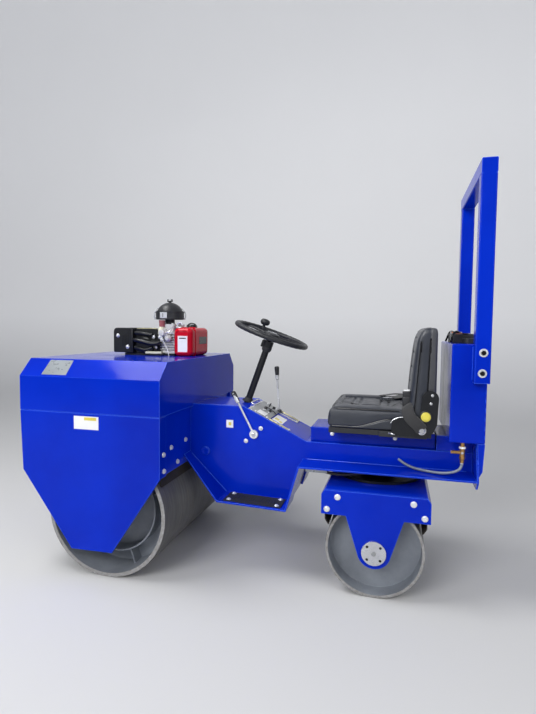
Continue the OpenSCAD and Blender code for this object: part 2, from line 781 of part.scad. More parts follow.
module slew_ring() color(black) translate([rear_x, 0, yoke_top]) {
  difference() {
    cylinder(r = slew_r, h = ring_t, $fn = 96);
    translate([0, 0, -1]) cylinder(r = king_r + fit_gap, h = ring_t + 2);
    translate([0, -steer_arm, -1]) cylinder(r = 30, h = ring_t + 2);
  }
}

head_t = 12;
module yoke_head() color(blue) translate([rear_x, 0, 0]) difference() {
  l = yoke_len / 2;
  union() {
    slab(-yoke_in, yoke_in) difference() {
      polygon([[-l, yoke_low], [-l, yoke_top - 20], [14 - l, yoke_top], [l - 14, yoke_top],
        [l, yoke_top - 20], [l, yoke_low]]);
      polygon([[head_t - l, yoke_low - 1], [head_t - l, yoke_top - 24], [24 - l, yoke_top - head_t],
        [l - 24, yoke_top - head_t], [l - head_t, yoke_top - 24], [l - head_t, yoke_low - 1]]);
    }
    translate([0, -steer_arm, yoke_top - 1]) cylinder(r = 24, h = steer_z - eye_h / 2 - pin_gap - yoke_top + 1);
  }
  translate([0, 0, yoke_top - head_t - 1]) cylinder(r = king_r + fit_gap, h = head_t + 2);
}

yoke_notch = 121;
spigot_r = 36;
module yoke_plate(side) color(blue) translate([rear_x, 0, 0]) mirror([0, side > 0 ? 0 : 1, 0])
  difference() {
    l = yoke_len / 2;
    h = yoke_low - rear_drum_r;
    // Angle of the straight edge that meets the round tip
    a = atan2(h, yoke_notch) - acos(yoke_tip_r / norm([yoke_notch, h]));
    r = yoke_tip_r - 0.2;
    union() {
      slab(yoke_in, yoke_in + yoke_t) polygon([
        [-l, yoke_low], [-l, yoke_top - 20], [14 - l, yoke_top], [l - 14, yoke_top],
        [l, yoke_top - 20], [l, yoke_low], [yoke_notch, yoke_low],
        [r * cos(a), rear_drum_r + r * sin(a)], [-r * cos(a), rear_drum_r + r * sin(a)],
        [-yoke_notch, yoke_low]
      ]);
      translate([0, 0, rear_drum_r]) y_rod(yoke_tip_r, yoke_in, yoke_in + yoke_t);
    }
    translate([0, 0, rear_drum_r]) y_rod(spigot_r, yoke_in - 1, yoke_in + yoke_t + 1);
  }

// Bolted flange outside the yoke plate and its stub axle into the drum
module hub_flange(side) color(zinc) translate([rear_x, 0, rear_drum_r])
  mirror([0, side > 0 ? 0 : 1, 0]) {
    y1 = yoke_w / 2;
    difference() {
      y_rod(hub_d / 2, y1, y1 + 10);
      for (i = [0 : 3]) rotate([0, 45 + 90 * i, 0]) translate([hub_pcd / 2, 0, 0]) y_rod(5.5, y1 - 1, y1 + 11);
    }
    y_rod(spigot_r, yoke_in, y1);
    y_rod(rear_stub_r, rear_drum_len / 2 - rear_recess - hub_depth, yoke_in);
  }

module yoke_scrapers() color(rust) translate([rear_x, 0, 0]) for (s = [0, 1]) mirror([s, 0, 0]) {
  l = yoke_len / 2 - head_t;
  r = rear_drum_r + scrape_gap;
  a = 24.5;
  tip = [r * cos(a), rear_drum_r + r * sin(a)];
  heel = [(r + 4) * cos(a - 0.6), rear_drum_r + (r + 4) * sin(a - 0.6)];
  slab(-rear_drum_len / 2 + 12, rear_drum_len / 2 - 12) polygon([
    [l, yoke_low + 24], [l, yoke_low - 34], [l - 4, yoke_low - 42], heel, tip,
    [l - 7, yoke_low - 38], [l - 4, yoke_low - 32], [l - 4, yoke_low + 24]
  ]);
}

module rear_drum() color(drum_grey) translate([rear_x, 0, rear_drum_r])
  drum(rear_drum_r, rear_drum_len, rear_drum_wall, rear_recess, 0, rear_stub_r, rear_stub_r + 22);

// ---------------------------------------------------------------- nodes

bonnet();
side_plate(1);  // side_plate_l
side_plate(-1);  // side_plate_r
front_panel();
rear_panel();
engine_bed();
hub_carrier(1);  // hub_carrier_l
hub_carrier(-1);  // hub_carrier_r
front_drum();
front_scraper();
engine_block();
cylinder_head();
engine_shroud();
muffler();
air_cleaner();
fuel_tank();
spine_plate(1);  // spine_plate_l
spine_plate(-1);  // spine_plate_r
console_top();
belly_plate();
deck();
tray(1);  // tray_l
tray(-1);  // tray_r
mats();
dash_panel();
steering_column();
steering_wheel();
side_lever();
drive_lever();
seat_base();
seat_pan();
seat_cushion();
seat_back();
seat_brackets();
tank_stand();
water_tank();
battery();
roll_bar();
tail_plate();
drain_tap();
drain_hose();
deck_hose();
slew_mount();
steer_barrel();
steer_rod();
slew_ring();
yoke_head();
yoke_plate(1);  // yoke_plate_l
yoke_plate(-1);  // yoke_plate_r
hub_flange(1);  // hub_flange_l
hub_flange(-1);  // hub_flange_r
yoke_scrapers();
rear_drum();
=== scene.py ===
"""Looks of the road roller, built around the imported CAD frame.

Metres, but for the profiles of lathe and the edges in SHEETS, which are in millimetres.
"""
import json
import math
import random

import bmesh
import bpy
from mathutils import Matrix, Vector
from mathutils.bvhtree import BVHTree


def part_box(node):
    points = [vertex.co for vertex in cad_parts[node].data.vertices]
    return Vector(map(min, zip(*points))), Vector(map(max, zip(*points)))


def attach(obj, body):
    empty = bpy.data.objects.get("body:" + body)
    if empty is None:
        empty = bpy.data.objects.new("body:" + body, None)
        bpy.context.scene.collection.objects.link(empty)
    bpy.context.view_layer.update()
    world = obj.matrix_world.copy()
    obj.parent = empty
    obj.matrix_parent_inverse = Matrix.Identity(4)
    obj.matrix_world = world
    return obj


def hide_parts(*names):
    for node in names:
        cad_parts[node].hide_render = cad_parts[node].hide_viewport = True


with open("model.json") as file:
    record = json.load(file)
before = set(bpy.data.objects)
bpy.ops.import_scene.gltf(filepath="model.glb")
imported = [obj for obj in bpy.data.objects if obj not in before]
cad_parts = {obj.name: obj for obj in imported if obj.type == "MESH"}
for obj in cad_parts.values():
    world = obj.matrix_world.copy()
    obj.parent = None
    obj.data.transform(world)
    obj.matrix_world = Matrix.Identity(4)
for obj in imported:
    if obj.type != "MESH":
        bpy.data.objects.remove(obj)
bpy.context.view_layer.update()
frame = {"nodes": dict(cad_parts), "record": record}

random.seed(7)


# ------------------------------------------------------------------ places from the frame

def low(node):
    return Vector(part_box(node)[0])


def high(node):
    return Vector(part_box(node)[1])


def middle(node):
    return (low(node) + high(node)) / 2


# ------------------------------------------------------------------ camera

def look_basis(yaw, pitch, roll):
    """Right, up and back directions of a camera that looks along -Y, turned by yaw, pitch and roll."""
    forward = Vector((math.sin(yaw) * math.cos(pitch), -math.cos(yaw) * math.cos(pitch), -math.sin(pitch)))
    right = Vector((-math.cos(yaw), -math.sin(yaw), 0))
    up = right.cross(forward)
    turned_right = math.cos(roll) * right + math.sin(roll) * up
    turned_up = -math.sin(roll) * right + math.cos(roll) * up
    return turned_right, turned_up, -forward


def add_camera():
    data = bpy.data.cameras.new("camera")
    data.sensor_width = 36
    data.lens = 24.6
    data.clip_end = 60
    cam = bpy.data.objects.new("camera", data)
    right, up, back = look_basis(math.radians(14.8), math.radians(3.36), math.radians(0.63))
    basis = Matrix((right, up, back)).transposed().to_4x4()
    cam.matrix_world = Matrix.Translation((-0.676, 2.405, 1.158)) @ basis
    bpy.context.scene.collection.objects.link(cam)
    bpy.context.scene.camera = cam


add_camera()


# ------------------------------------------------------------------ node helpers

class Shader:
    """A material with one Principled shader and short calls for its nodes."""

    def __init__(self, name, color, roughness=0.5, metallic=0.0):
        self.mat = bpy.data.materials.new(name)
        self.mat.use_nodes = True
        self.mat.diffuse_color = (*color, 1)
        self.tree = self.mat.node_tree
        self.bsdf = self.tree.nodes["Principled BSDF"]
        self.put("Base Color", color)
        self.put("Roughness", roughness)
        self.put("Metallic", metallic)
        self.coords = self.node("TexCoord").outputs["Object"]

    def plug(self, value, socket):
        """Link another socket, or set a colour or a number."""
        if isinstance(value, bpy.types.NodeSocket):
            self.tree.links.new(value, socket)
        else:
            socket.default_value = (*value, 1) if socket.type == "RGBA" else value

    def put(self, name, value):
        """Plug a value into the Principled shader."""
        self.plug(value, self.bsdf.inputs[name])

    def node(self, kind, inputs=(), **props):
        made = self.tree.nodes.new("ShaderNode" + kind)
        for key, value in props.items():
            setattr(made, key, value)
        for name, value in dict(inputs).items():
            self.plug(value, made.inputs[name])
        return made

    def scaled(self, scale):
        return self.node("Mapping", {"Scale": scale, "Vector": self.coords}).outputs["Vector"]

    def noise(self, scale, detail=3.0, rough=0.5, coords=None):
        return self.node("TexNoise", {"Scale": scale, "Detail": detail, "Roughness": rough,
            "Vector": coords or self.coords}).outputs["Fac"]

    def axis(self, name):
        """One object coordinate, X, Y or Z."""
        return self.node("SeparateXYZ", {0: self.coords}).outputs[name]

    def ramp(self, fac, stops):
        """Colour ramp through stops of (position, colour or grey)."""
        made = self.node("ValToRGB", {"Fac": fac})
        ends = made.color_ramp.elements
        while len(ends) < len(stops):
            ends.new(0.5)
        for element, (pos, color) in zip(ends, stops):
            element.position = pos
            rgb = (color,) * 3 if isinstance(color, (int, float)) else color
            element.color = (*rgb, 1)
        return made.outputs["Color"]

    def mix(self, fac, a, b):
        return self.node("Mix", data_type="RGBA", inputs={0: fac, 6: a, 7: b}).outputs[2]

    def math(self, op, a, b=0.0):
        return self.node("Math", {0: a, 1: b}, operation=op).outputs[0]

    def edge_highlight_mask(self, size):
        """High near convex edges, from the Bevel node's normal against the true one."""
        bevel = self.node("Bevel", {"Radius": size}, samples=4)
        true = self.node("NewGeometry").outputs["Normal"]
        dot = self.node("VectorMath", {0: bevel.outputs["Normal"], 1: true}, operation="DOT_PRODUCT")
        return self.math("SUBTRACT", 1.0, dot.outputs["Value"])

    def bump(self, height, strength, distance):
        made = self.node("Bump", {"Strength": strength, "Distance": distance, "Height": height})
        self.put("Normal", made.outputs["Normal"])


# ------------------------------------------------------------------ materials

BLUE = (0.0002, 0.025, 0.53)
BLUE_DEEP = (0.0002, 0.017, 0.41)
# Paler blue for the painted highlight along the sheets' edges
BLUE_EDGE_HIGHLIGHT = (0.06, 0.17, 0.88)


def paint_blue():
    """Glossy blue enamel on steel sheet, with orange peel and faint uneven gloss."""
    s = Shader("blue_enamel", BLUE, 0.2)
    base = s.mix(s.ramp(s.noise(2.3, 4), [(0.35, 0.0), (0.65, 1.0)]), BLUE, BLUE_DEEP)
    # Paler paint along the edges of the sheets, a painted highlight where the edges catch the lamps; and a
    # few scuffs
    edge = s.ramp(s.edge_highlight_mask(0.0055), [(0.015, 0.0), (0.14, 0.9)])
    base = s.mix(edge, base, BLUE_EDGE_HIGHLIGHT)
    scuff = s.ramp(s.noise(9.0, 8, 0.75, s.scaled((1, 1, 5))), [(0.66, 0.0), (0.78, 0.22)])
    s.put("Base Color", s.mix(scuff, base, (0.05, 0.09, 0.42)))
    s.put("Roughness", s.ramp(s.noise(7.0, 5), [(0.3, 0.10), (0.75, 0.22)]))
    s.put("Specular IOR Level", 0.12)
    s.bump(s.noise(26, 2), 0.08, 0.0010)
    return s.mat


def ground_steel():
    """Bare rolled steel, turned and scuffed along the drum, browned in places."""
    tint = (0.24, 0.24, 0.245)
    s = Shader("ground_steel", tint, 0.5, 0.35)
    s.put("Specular IOR Level", 0.35)
    rings = s.noise(1.0, 6, 0.7, s.scaled((3, 200, 3)))
    blotch = s.noise(6.0, 6, 0.6)
    dark = tuple(c * 0.60 for c in tint)
    warm = (tint[0], tint[1] * 0.86, tint[2] * 0.72)
    base = s.mix(s.ramp(blotch, [(0.35, 0.0), (0.70, 1.0)]), tint, dark)
    base = s.mix(s.ramp(s.noise(14.0, 6, 0.7), [(0.56, 0.0), (0.74, 0.6)]), base, warm)
    s.put("Base Color", s.mix(0.30, base, s.ramp(rings, [(0.3, 0.12), (0.7, 0.36)])))
    s.put("Roughness", s.ramp(blotch, [(0.3, 0.42), (0.7, 0.62)]))
    s.bump(s.mix(0.5, rings, s.noise(300.0, 3)), 0.25, 0.0004)
    return s.mat


def drum_steel(node):
    """Rolled plate: streaked tread, pale worn rim and bluish inside, told apart by radius and width."""
    s = Shader(node + "_plate", (0.16, 0.17, 0.18), 0.5, 0.12)
    s.put("Specular IOR Level", 0.35)
    axle, half = middle(node), high(node).y
    dx = s.math("SUBTRACT", s.axis("X"), axle.x)
    dz = s.math("SUBTRACT", s.axis("Z"), axle.z)
    r = s.math("SQRT", s.math("ADD", s.math("MULTIPLY", dx, dx), s.math("MULTIPLY", dz, dz)))
    tread = s.math("GREATER_THAN", r, high(node).z / 2 - 0.0028)
    rim = s.math("GREATER_THAN", s.math("ABSOLUTE", s.axis("Y")), half - 0.0022)
    blotch = s.noise(6.0, 6, 0.6)
    rings = s.noise(1.0, 7, 0.72, s.scaled((5, 170, 5)))
    outer = s.mix(s.ramp(rings, [(0.32, 0.0), (0.68, 1.0)]), (0.080, 0.080, 0.081), (0.165, 0.164, 0.161))
    rust = s.ramp(s.noise(1.0, 6, 0.7, s.scaled((9, 60, 9))), [(0.55, 0.0), (0.68, 0.75)])
    outer = s.mix(rust, outer, (0.150, 0.122, 0.096))
    inner = s.mix(s.ramp(blotch, [(0.32, 0.0), (0.68, 1.0)]), (0.29, 0.315, 0.355), (0.195, 0.212, 0.240))
    inner = s.mix(s.ramp(s.noise(38.0, 8, 0.8), [(0.62, 0.0), (0.72, 0.5)]), inner, (0.30, 0.29, 0.27))
    worn = s.mix(s.ramp(s.noise(60.0, 5, 0.7), [(0.35, 0.0), (0.65, 1.0)]), (0.34, 0.34, 0.345),
        (0.22, 0.21, 0.20))
    s.put("Base Color", s.mix(rim, s.mix(tread, inner, outer), worn))
    s.put("Roughness", s.ramp(blotch, [(0.3, 0.40), (0.7, 0.60)]))
    s.bump(s.mix(0.4, rings, s.noise(260.0, 3)), 0.30, 0.0005)
    return s.mat


def plain(name, color, roughness, metallic=0.0, grain=120.0, depth=0.08, vary=0.18, coat=0.0, spec=0.5):
    """A finish with slight colour and gloss variation and a fine surface grain."""
    s = Shader(name, color, roughness, metallic)
    dark = tuple(c * (1 - vary) for c in color)
    s.put("Base Color", s.mix(s.ramp(s.noise(11.0, 5), [(0.35, 0.0), (0.65, 1.0)]), color, dark))
    low_r, high_r = max(0.03, roughness - 0.07), min(1.0, roughness + 0.08)
    s.put("Roughness", s.ramp(s.noise(17.0, 4), [(0.3, low_r), (0.7, high_r)]))
    s.put("Specular IOR Level", spec)
    s.put("Coat Weight", coat)
    s.put("Coat Roughness", 0.08)
    s.bump(s.noise(grain, 3), depth, 0.0006)
    return s.mat


def vinyl():
    """Leather-grained black vinyl: small rounded cells with finer pores in them."""
    s = Shader("seat_vinyl", (0.026, 0.030, 0.042), 0.40)
    patches = s.ramp(s.noise(9.0, 4), [(0.35, 0.0), (0.65, 1.0)])
    s.put("Base Color", s.mix(patches, (0.028, 0.033, 0.046), (0.019, 0.023, 0.034)))
    s.put("Roughness", s.ramp(s.noise(30.0, 4), [(0.3, 0.32), (0.7, 0.46)]))
    s.put("Specular IOR Level", 0.6)
    cells = s.node("TexVoronoi", {"Scale": 420.0, "Vector": s.coords}, feature="F1").outputs["Distance"]
    s.bump(s.mix(0.35, cells, s.noise(900.0, 2)), 0.28, 0.0005)
    return s.mat


def webbing():
    """Woven polyester belt: fine cross ribs over lengthwise threads."""
    s = Shader("belt_weave", (0.018, 0.018, 0.020), 0.75)
    s.put("Sheen Weight", 0.3)
    ribs = s.noise(1.0, 2, 0.5, s.scaled((900, 300, 900)))
    s.put("Base Color", s.ramp(ribs, [(0.3, (0.010, 0.010, 0.011)), (0.7, (0.030, 0.030, 0.033))]))
    s.bump(ribs, 0.5, 0.0006)
    return s.mat


def foil(name, color, roughness, metallic):
    """A blank printed plate: flat colour with slight creases and uneven gloss."""
    return plain(name, color, roughness, metallic, 40.0, 0.25, 0.10, 0.2)


FINISHES = {  # name: (material slot, material)
    "body_paint": ("body_paint", paint_blue()),
    "drum_steel": ("drum_steel", ground_steel()),
    "zinc": ("zinc", plain("zinc_plate", (0.66, 0.67, 0.70), 0.26, 0.85, 300, 0.05)),
    "dark_metal": ("dark_metal", plain("black_enamel", (0.009, 0.010, 0.013), 0.36, 0, 160, 0.12, spec=0.35)),
    "cast_metal": ("cast_metal", plain("cast_aluminium", (0.66, 0.66, 0.66), 0.42, 0.35, 420, 0.35)),
    "tank_red": ("tank_red", plain("red_enamel", (0.58, 0.003, 0.020), 0.16, 0, 40, 0.05, 0.1, spec=0.22)),
    "seat_vinyl": ("seat_vinyl", vinyl()),
    "black_plastic": ("black_plastic", plain("black_plastic", (0.020, 0.021, 0.025), 0.42, 0.0, 500, 0.25)),
    "rubber": ("rubber", plain("mat_rubber", (0.018, 0.019, 0.022), 0.7, 0.0, 300, 0.4)),
    "brass": ("brass", plain("brass", (0.52, 0.29, 0.10), 0.34, 0.85, 200, 0.12)),
    "clear_hose": ("clear_hose", plain("milky_hose", (0.20, 0.235, 0.30), 0.25, 0.0, 90, 0.05)),
    "rusty_steel": ("rusty_steel", plain("rusty_steel", (0.034, 0.027, 0.023), 0.8, 0.2, 200, 0.6, 0.5)),
    "white_zinc": ("zinc", plain("bright_zinc", (0.84, 0.86, 0.88), 0.24, 0.45, 300, 0.05)),
    "yellow_zinc": ("zinc", plain("yellow_passivate", (0.68, 0.64, 0.38), 0.28, 0.5, 200, 0.08)),
    "white_foil": ("zinc", foil("white_plate", (0.90, 0.91, 0.92), 0.35, 0.0)),
    "front_tread": ("drum_steel", drum_steel("front_drum")),
    "rear_tread": ("drum_steel", drum_steel("rear_drum")),
    "yellow_foil": ("zinc", foil("yellow_patch", (0.74, 0.62, 0.09), 0.35, 0.0)),
    "pink_foil": ("zinc", foil("pink_edge", (0.74, 0.22, 0.27), 0.35, 0.0)),
    "grey_foil": ("zinc", foil("silver_plate", (0.33, 0.36, 0.38), 0.30, 0.4)),
    "dark_foil": ("black_plastic", foil("dark_plate", (0.012, 0.010, 0.012), 0.30, 0.0)),
    "cream": ("cast_metal", plain("cream_paint", (0.80, 0.80, 0.60), 0.35, 0.0, 150, 0.1)),
    "pink_rubber": ("rubber", plain("pink_hose", (0.42, 0.12, 0.13), 0.35, 0.0, 90, 0.1)),
    "yellow_plastic": ("black_plastic", plain("yellow_plastic", (0.80, 0.70, 0.10), 0.30, 0.0, 150, 0.08)),
    "gloss_black": ("black_plastic", plain("gloss_black", (0.008, 0.008, 0.010), 0.18, 0.0, 150, 0.05)),
    "copper": ("brass", plain("copper", (0.55, 0.22, 0.12), 0.35, 0.9, 200, 0.1)),
    "grey_panel": ("zinc", plain("grey_panel", (0.34, 0.35, 0.36), 0.42, 0.2, 260, 0.25)),
    "seat_shell": ("black_plastic", plain("seat_shell", (0.060, 0.062, 0.070), 0.45, 0.0, 600, 0.35)),
    "seam_thread": ("seat_vinyl", plain("seam_thread", (0.035, 0.036, 0.040), 0.6, 0.0, 900, 0.2)),
    "webbing": ("rubber", webbing()),
    # Paler blue than the body paint: a painted highlight along the weld beads
    "weld_highlight_paint": ("body_paint", plain("weld_highlight_paint", (0.012, 0.070, 0.66), 0.25, 0.0, 200, 0.2, spec=0.35)),
    "hydraulic": ("rubber", plain("hydraulic_hose", (0.060, 0.052, 0.040), 0.5, 0.0, 500, 0.25)),
}
slot_of = {row["node"]: row["material_slot"] for row in frame["record"]["subparts"]}


def finish(obj, name):
    """Give an object one of the finishes."""
    slot_name, mat = FINISHES[name]
    obj.data.materials.clear()
    obj.data.materials.append(mat)


for name, node in frame["nodes"].items():
    bare_lever = name in ("side_lever", "drive_lever")
    finish(node, "white_zinc" if bare_lever else slot_of[name])


# ------------------------------------------------------------------ mesh kit

UP = Vector((0, 0, 1))


def frame_at(place, axis, spin=0.0):
    """Matrix whose Z runs along axis at place."""
    turn = Vector(axis).normalized().to_track_quat("Z", "Y").to_matrix().to_4x4()
    return Matrix.Translation(place) @ turn @ Matrix.Rotation(spin, 4, "Z")


def lathe(bm, place, axis, profile, steps=24, spin=0.0, unit=0.001):
    """Turn a profile of (radius, height) about axis, in millimetres unless unit says otherwise."""
    m = frame_at(place, axis, spin)
    profile = [(r * unit, h * unit) for r, h in profile]
    angles = [2 * math.pi * k / steps for k in range(steps)]
    rings = []
    for r, h in profile:
        spots = [(r * math.cos(a), r * math.sin(a), h) for a in angles] if r else [(0, 0, h)]
        rings.append([bm.verts.new(m @ Vector(p)) for p in spots])
    for a, b in zip(rings, rings[1:]):
        if len(a) == 1 and len(b) == 1:
            continue
        for k in range(steps):
            n = (k + 1) % steps
            if len(a) == 1:
                bm.faces.new((a[0], b[n], b[k]))
            elif len(b) == 1:
                bm.faces.new((a[k], a[n], b[0]))
            else:
                bm.faces.new((a[k], a[n], b[n], b[k]))
    if profile[0] == profile[-1]:
        # A closed profile: the last ring is the first again
        for k in range(steps):
            bmesh.ops.weld_verts(bm, targetmap={rings[-1][k]: rings[0][k]})
        return
    if len(rings[0]) > 1:
        bm.faces.new(list(reversed(rings[0])))
    if len(rings[-1]) > 1:
        bm.faces.new(rings[-1])


def brick(bm, lo, hi, bevel=0.001, segments=2, matrix=None):
    """Block between two corners with every edge rounded."""
    lo, hi = Vector(lo), Vector(hi)
    made = bmesh.ops.create_cube(bm, size=1.0)["verts"]
    for v in made:
        v.co = Vector([(lo[i] + hi[i]) / 2 + v.co[i] * (hi[i] - lo[i]) for i in range(3)])
    if bevel:
        edges = list({e for v in made for e in v.link_edges})
        out = bmesh.ops.bevel(bm, geom=edges, offset=bevel, segments=segments, profile=0.5, affect="EDGES")
        made = out["verts"]
    if matrix is not None:
        bmesh.ops.transform(bm, matrix=matrix, verts=list(set(made)))
    return made


def prism(bm, outline, span, plane="XZ", bevel=0.0, matrix=None):
    """Extrude an outline of two coordinates through span on the third."""
    def place(p, t):
        a, b = p
        return {"XZ": (a, t, b), "YZ": (t, a, b), "XY": (a, b, t)}[plane]
    n = len(outline)
    sides = [[bm.verts.new(place(p, t)) for p in outline] for t in span]
    faces = [bm.faces.new(sides[0]), bm.faces.new(list(reversed(sides[1])))]
    for i in range(n):
        j = (i + 1) % n
        faces.append(bm.faces.new((sides[0][j], sides[0][i], sides[1][i], sides[1][j])))
    bmesh.ops.recalc_face_normals(bm, faces=faces)
    made = sides[0] + sides[1]
    if bevel:
        edges = list({e for f in faces for e in f.edges})
        made = bmesh.ops.bevel(bm, geom=edges, offset=bevel, segments=2, profile=0.5,
            affect="EDGES")["verts"]
    if matrix is not None:
        bmesh.ops.transform(bm, matrix=matrix, verts=list(set(made)))
    return made


def round_outline(corners, steps=6):
    """Outline through corners of (a, b, radius), each one rounded off."""
    out = []
    for i, (a, b, r) in enumerate(corners):
        p = Vector((a, b))
        back, on = (Vector(corners[j % len(corners)][:2]) - p for j in (i - 1, i + 1))
        reach = r / math.tan(back.angle(on) / 2)
        start, end = p + back.normalized() * reach, p + on.normalized() * reach
        for k in range(steps + 1):
            t = k / steps
            out.append(tuple(start * (1 - t) ** 2 + p * 2 * t * (1 - t) + end * t * t))
    return out


def smooth_path(points, per=6):
    """Catmull-Rom curve through the points."""
    pts = [Vector(p) for p in points]
    ends = [2 * pts[0] - pts[1]] + pts + [2 * pts[-1] - pts[-2]]
    out = []
    for i in range(1, len(ends) - 2):
        p0, p1, p2, p3 = ends[i - 1:i + 3]
        for k in range(per):
            t = k / per
            square, cube = 2 * p0 - 5 * p1 + 4 * p2 - p3, 3 * p1 - p0 - 3 * p2 + p3
            out.append(0.5 * (2 * p1 + (p2 - p0) * t + square * t * t + cube * t ** 3))
    return out + [pts[-1]]


def even(points, step, closed=False):
    """The path again with points a step apart."""
    pts = points + [points[0]] if closed else list(points)
    out, left = [pts[0]], step
    for a, b in zip(pts, pts[1:]):
        d = (b - a).length
        while d >= left:
            a = a.lerp(b, left / d)
            out.append(a.copy())
            d = (b - a).length
            left = step
        left -= d
    return out


def relaxed(points, closed, rounds=2):
    """The path again with every point drawn towards its neighbours."""
    for _ in range(rounds):
        n = len(points)
        points = [points[i] if not closed and i in (0,
            n - 1) else (points[i - 1] + points[i] * 2 + points[(i + 1) % n]) / 4 for i in range(n)]
    return points


def tube(bm, path, radius, sides=10, closed=False, flat=1.0):
    """Sweep a round or flattened section along a path; radius may be a list, one value a point."""
    pts = [Vector(p) for p in path]
    n = len(pts)
    radii = radius if isinstance(radius, (list, tuple)) else [radius] * n
    angles = [2 * math.pi * k / sides for k in range(sides)]
    side = None
    rings = []
    for i, p in enumerate(pts):
        if closed:
            d = (pts[(i + 1) % n] - pts[i - 1]).normalized()
        else:
            d = (pts[min(i + 1, n - 1)] - pts[max(i - 1, 0)]).normalized()
        if side is None:
            guide = Vector((0, 0, 1)) if abs(d.z) < 0.9 else Vector((1, 0, 0))
            side = d.cross(guide).normalized()
        side = (side - d * side.dot(d)).normalized()
        up = side.cross(d)
        wide, tall = radii[i], radii[i] * flat
        spots = [p + side * (wide * math.cos(a)) + up * (tall * math.sin(a)) for a in angles]
        rings.append([bm.verts.new(spot) for spot in spots])
    faces = []
    pairs = list(zip(rings, rings[1:])) + ([(rings[-1], rings[0])] if closed else [])
    for a, b in pairs:
        for k in range(sides):
            m = (k + 1) % sides
            faces.append(bm.faces.new((a[k], a[m], b[m], b[k])))
    if not closed:
        faces.append(bm.faces.new(list(reversed(rings[0]))))
        faces.append(bm.faces.new(rings[-1]))
    bmesh.ops.recalc_face_normals(bm, faces=faces)


def pipe(bm, points, radius, sides=10, per=6, **more):
    """A tube along the smooth curve through a few points."""
    tube(bm, smooth_path(points, per), radius, sides, **more)


def bead(bm, a, b, radius=0.003, pitch=0.005):
    """Weld bead: a lumpy tube between two points."""
    a, b = Vector(a), Vector(b)
    n = max(4, int((b - a).length / pitch))
    path = [a.lerp(b, k / n) for k in range(n + 1)]
    tube(bm, path, [radius * (0.75 + 0.35 * (k % 2) + 0.15 * random.random()) for k in range(n + 1)], 8)


def hex_bolt(bm, place, axis, size, washer=True, spin=0.3):
    """Hexagon head with chamfered corners on a flat washer; size is the thread diameter."""
    if washer:
        lathe(bm, place, axis, [(0.4, 0), (1.08, 0), (1.15, 0.06), (1.12, 0.18), (0.4, 0.18)], 28,
            unit=size)
    head = frame_at(place, axis) @ Vector((0, 0, size * 0.16))
    lathe(bm, head, axis, [(0.5, 0), (0.92, 0), (0.95, 0.08), (0.95, 0.52), (0.80, 0.64), (0, 0.66)], 6,
        spin, unit=size)


def dome_bolt(bm, place, axis, r):
    """Round-headed bolt on a thin washer."""
    lathe(bm, place, axis, [(0.3, 0), (1, 0), (1.04, 0.10), (0.98, 0.16), (0.70, 0.18), (0.66, 0.40),
        (0.50, 0.58), (0.26, 0.68), (0, 0.70)], unit=r)


def socket_bolt(bm, place, axis, r):
    """Cap screw with a hexagon socket."""
    lathe(bm, place, axis, [(0.4, 0), (1, 0), (1, 0.9), (0.88, 1.02), (0.52, 1.02), (0.50, 0.4),
        (0, 0.36)], unit=r)


def settle(bm, name, look, body="chassis", replaced=(), sharp=38, weight=False):
    """Turn a bmesh into a finished piece that rides on a body."""
    bmesh.ops.recalc_face_normals(bm, faces=bm.faces)
    mesh = bpy.data.meshes.new(name)
    bm.to_mesh(mesh)
    bm.free()
    mesh.shade_smooth()
    mesh.set_sharp_from_angle(angle=math.radians(sharp))
    obj = bpy.data.objects.new(name, mesh)
    bpy.context.scene.collection.objects.link(obj)
    finish(obj, look)
    if weight:
        mod = obj.modifiers.new("even_normals", "WEIGHTED_NORMAL")
        mod.keep_sharp = True
    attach(obj, body)
    if replaced:
        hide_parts(*replaced)
    return obj


def rounded(node, width, body, look):
    """A copy of a CAD node whose sharp edges are rounded; it stands for the node."""
    bm = bmesh.new()
    bm.from_mesh(frame["nodes"][node].data)
    bmesh.ops.remove_doubles(bm, verts=bm.verts, dist=1e-6)
    bmesh.ops.dissolve_limit(bm, angle_limit=math.radians(0.6), verts=bm.verts, edges=bm.edges)
    bm.normal_update()
    edges = [e for e in bm.edges if len(e.link_faces) == 2 and e.calc_face_angle(0) > math.radians(28)]
    bmesh.ops.bevel(bm, geom=edges, offset=width, segments=3, profile=0.5, affect="EDGES",
        clamp_overlap=True, loop_slide=True)
    settle(bm, node + "_sheet", look, body, (node,), 50, True)


# ------------------------------------------------------------------ hoses


def add_drain_hose():
    """The hose from the water tank's tap, with the route and length of the CAD."""
    route = [(-952, 240, 602), (-951, 241, 590), (-944, 244, 577), (-930, 245, 566), (-910, 243, 558),
        (-885, 238, 552), (-855, 230, 549), (-825, 218, 548), (-795, 204, 548), (-765, 190, 550),
        (-738, 178, 556), (-714, 168, 566), (-694, 160, 578)]
    route = [Vector(p) / 1000 for p in route]
    curve = bpy.data.curves.new("drain_hose_tube", "CURVE")
    curve.dimensions = "3D"
    curve.bevel_depth = 0.006
    curve.bevel_resolution = 5
    curve.use_fill_caps = True
    spline = curve.splines.new("POLY")
    fine = smooth_path(route, 3)
    spline.points.add(len(fine) - 1)
    for point, p in zip(spline.points, fine):
        point.co = (*p, 1)
    hose = bpy.data.objects.new("drain_hose_tube", curve)
    bpy.context.scene.collection.objects.link(hose)
    finish(hose, "clear_hose")
    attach(hose, "chassis")
    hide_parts("drain_hose")


add_drain_hose()


def add_deck_hose():
    """Hydraulic hose held at both ends under the near running board, sagging between them."""
    radius = 0.007
    front, rear = high("deck").x - 0.004, -0.5905
    z = high("deck_hose").z - radius - 0.0001
    sag = z - low("deck_hose").z - radius
    route = []
    for k in range(15):
        bow = math.sin(math.pi * k / 14)
        route.append((front + (rear - front) * k / 14, 0.188 + 0.014 * bow, z - sag * bow))
    fine = smooth_path(route, 3)
    bm = bmesh.new()
    tube(bm, fine, radius, 16)
    hose = settle(bm, "deck_hose_tube", "hydraulic", replaced=("deck_hose",))


add_deck_hose()


# ------------------------------------------------------------------ blue sheet metal

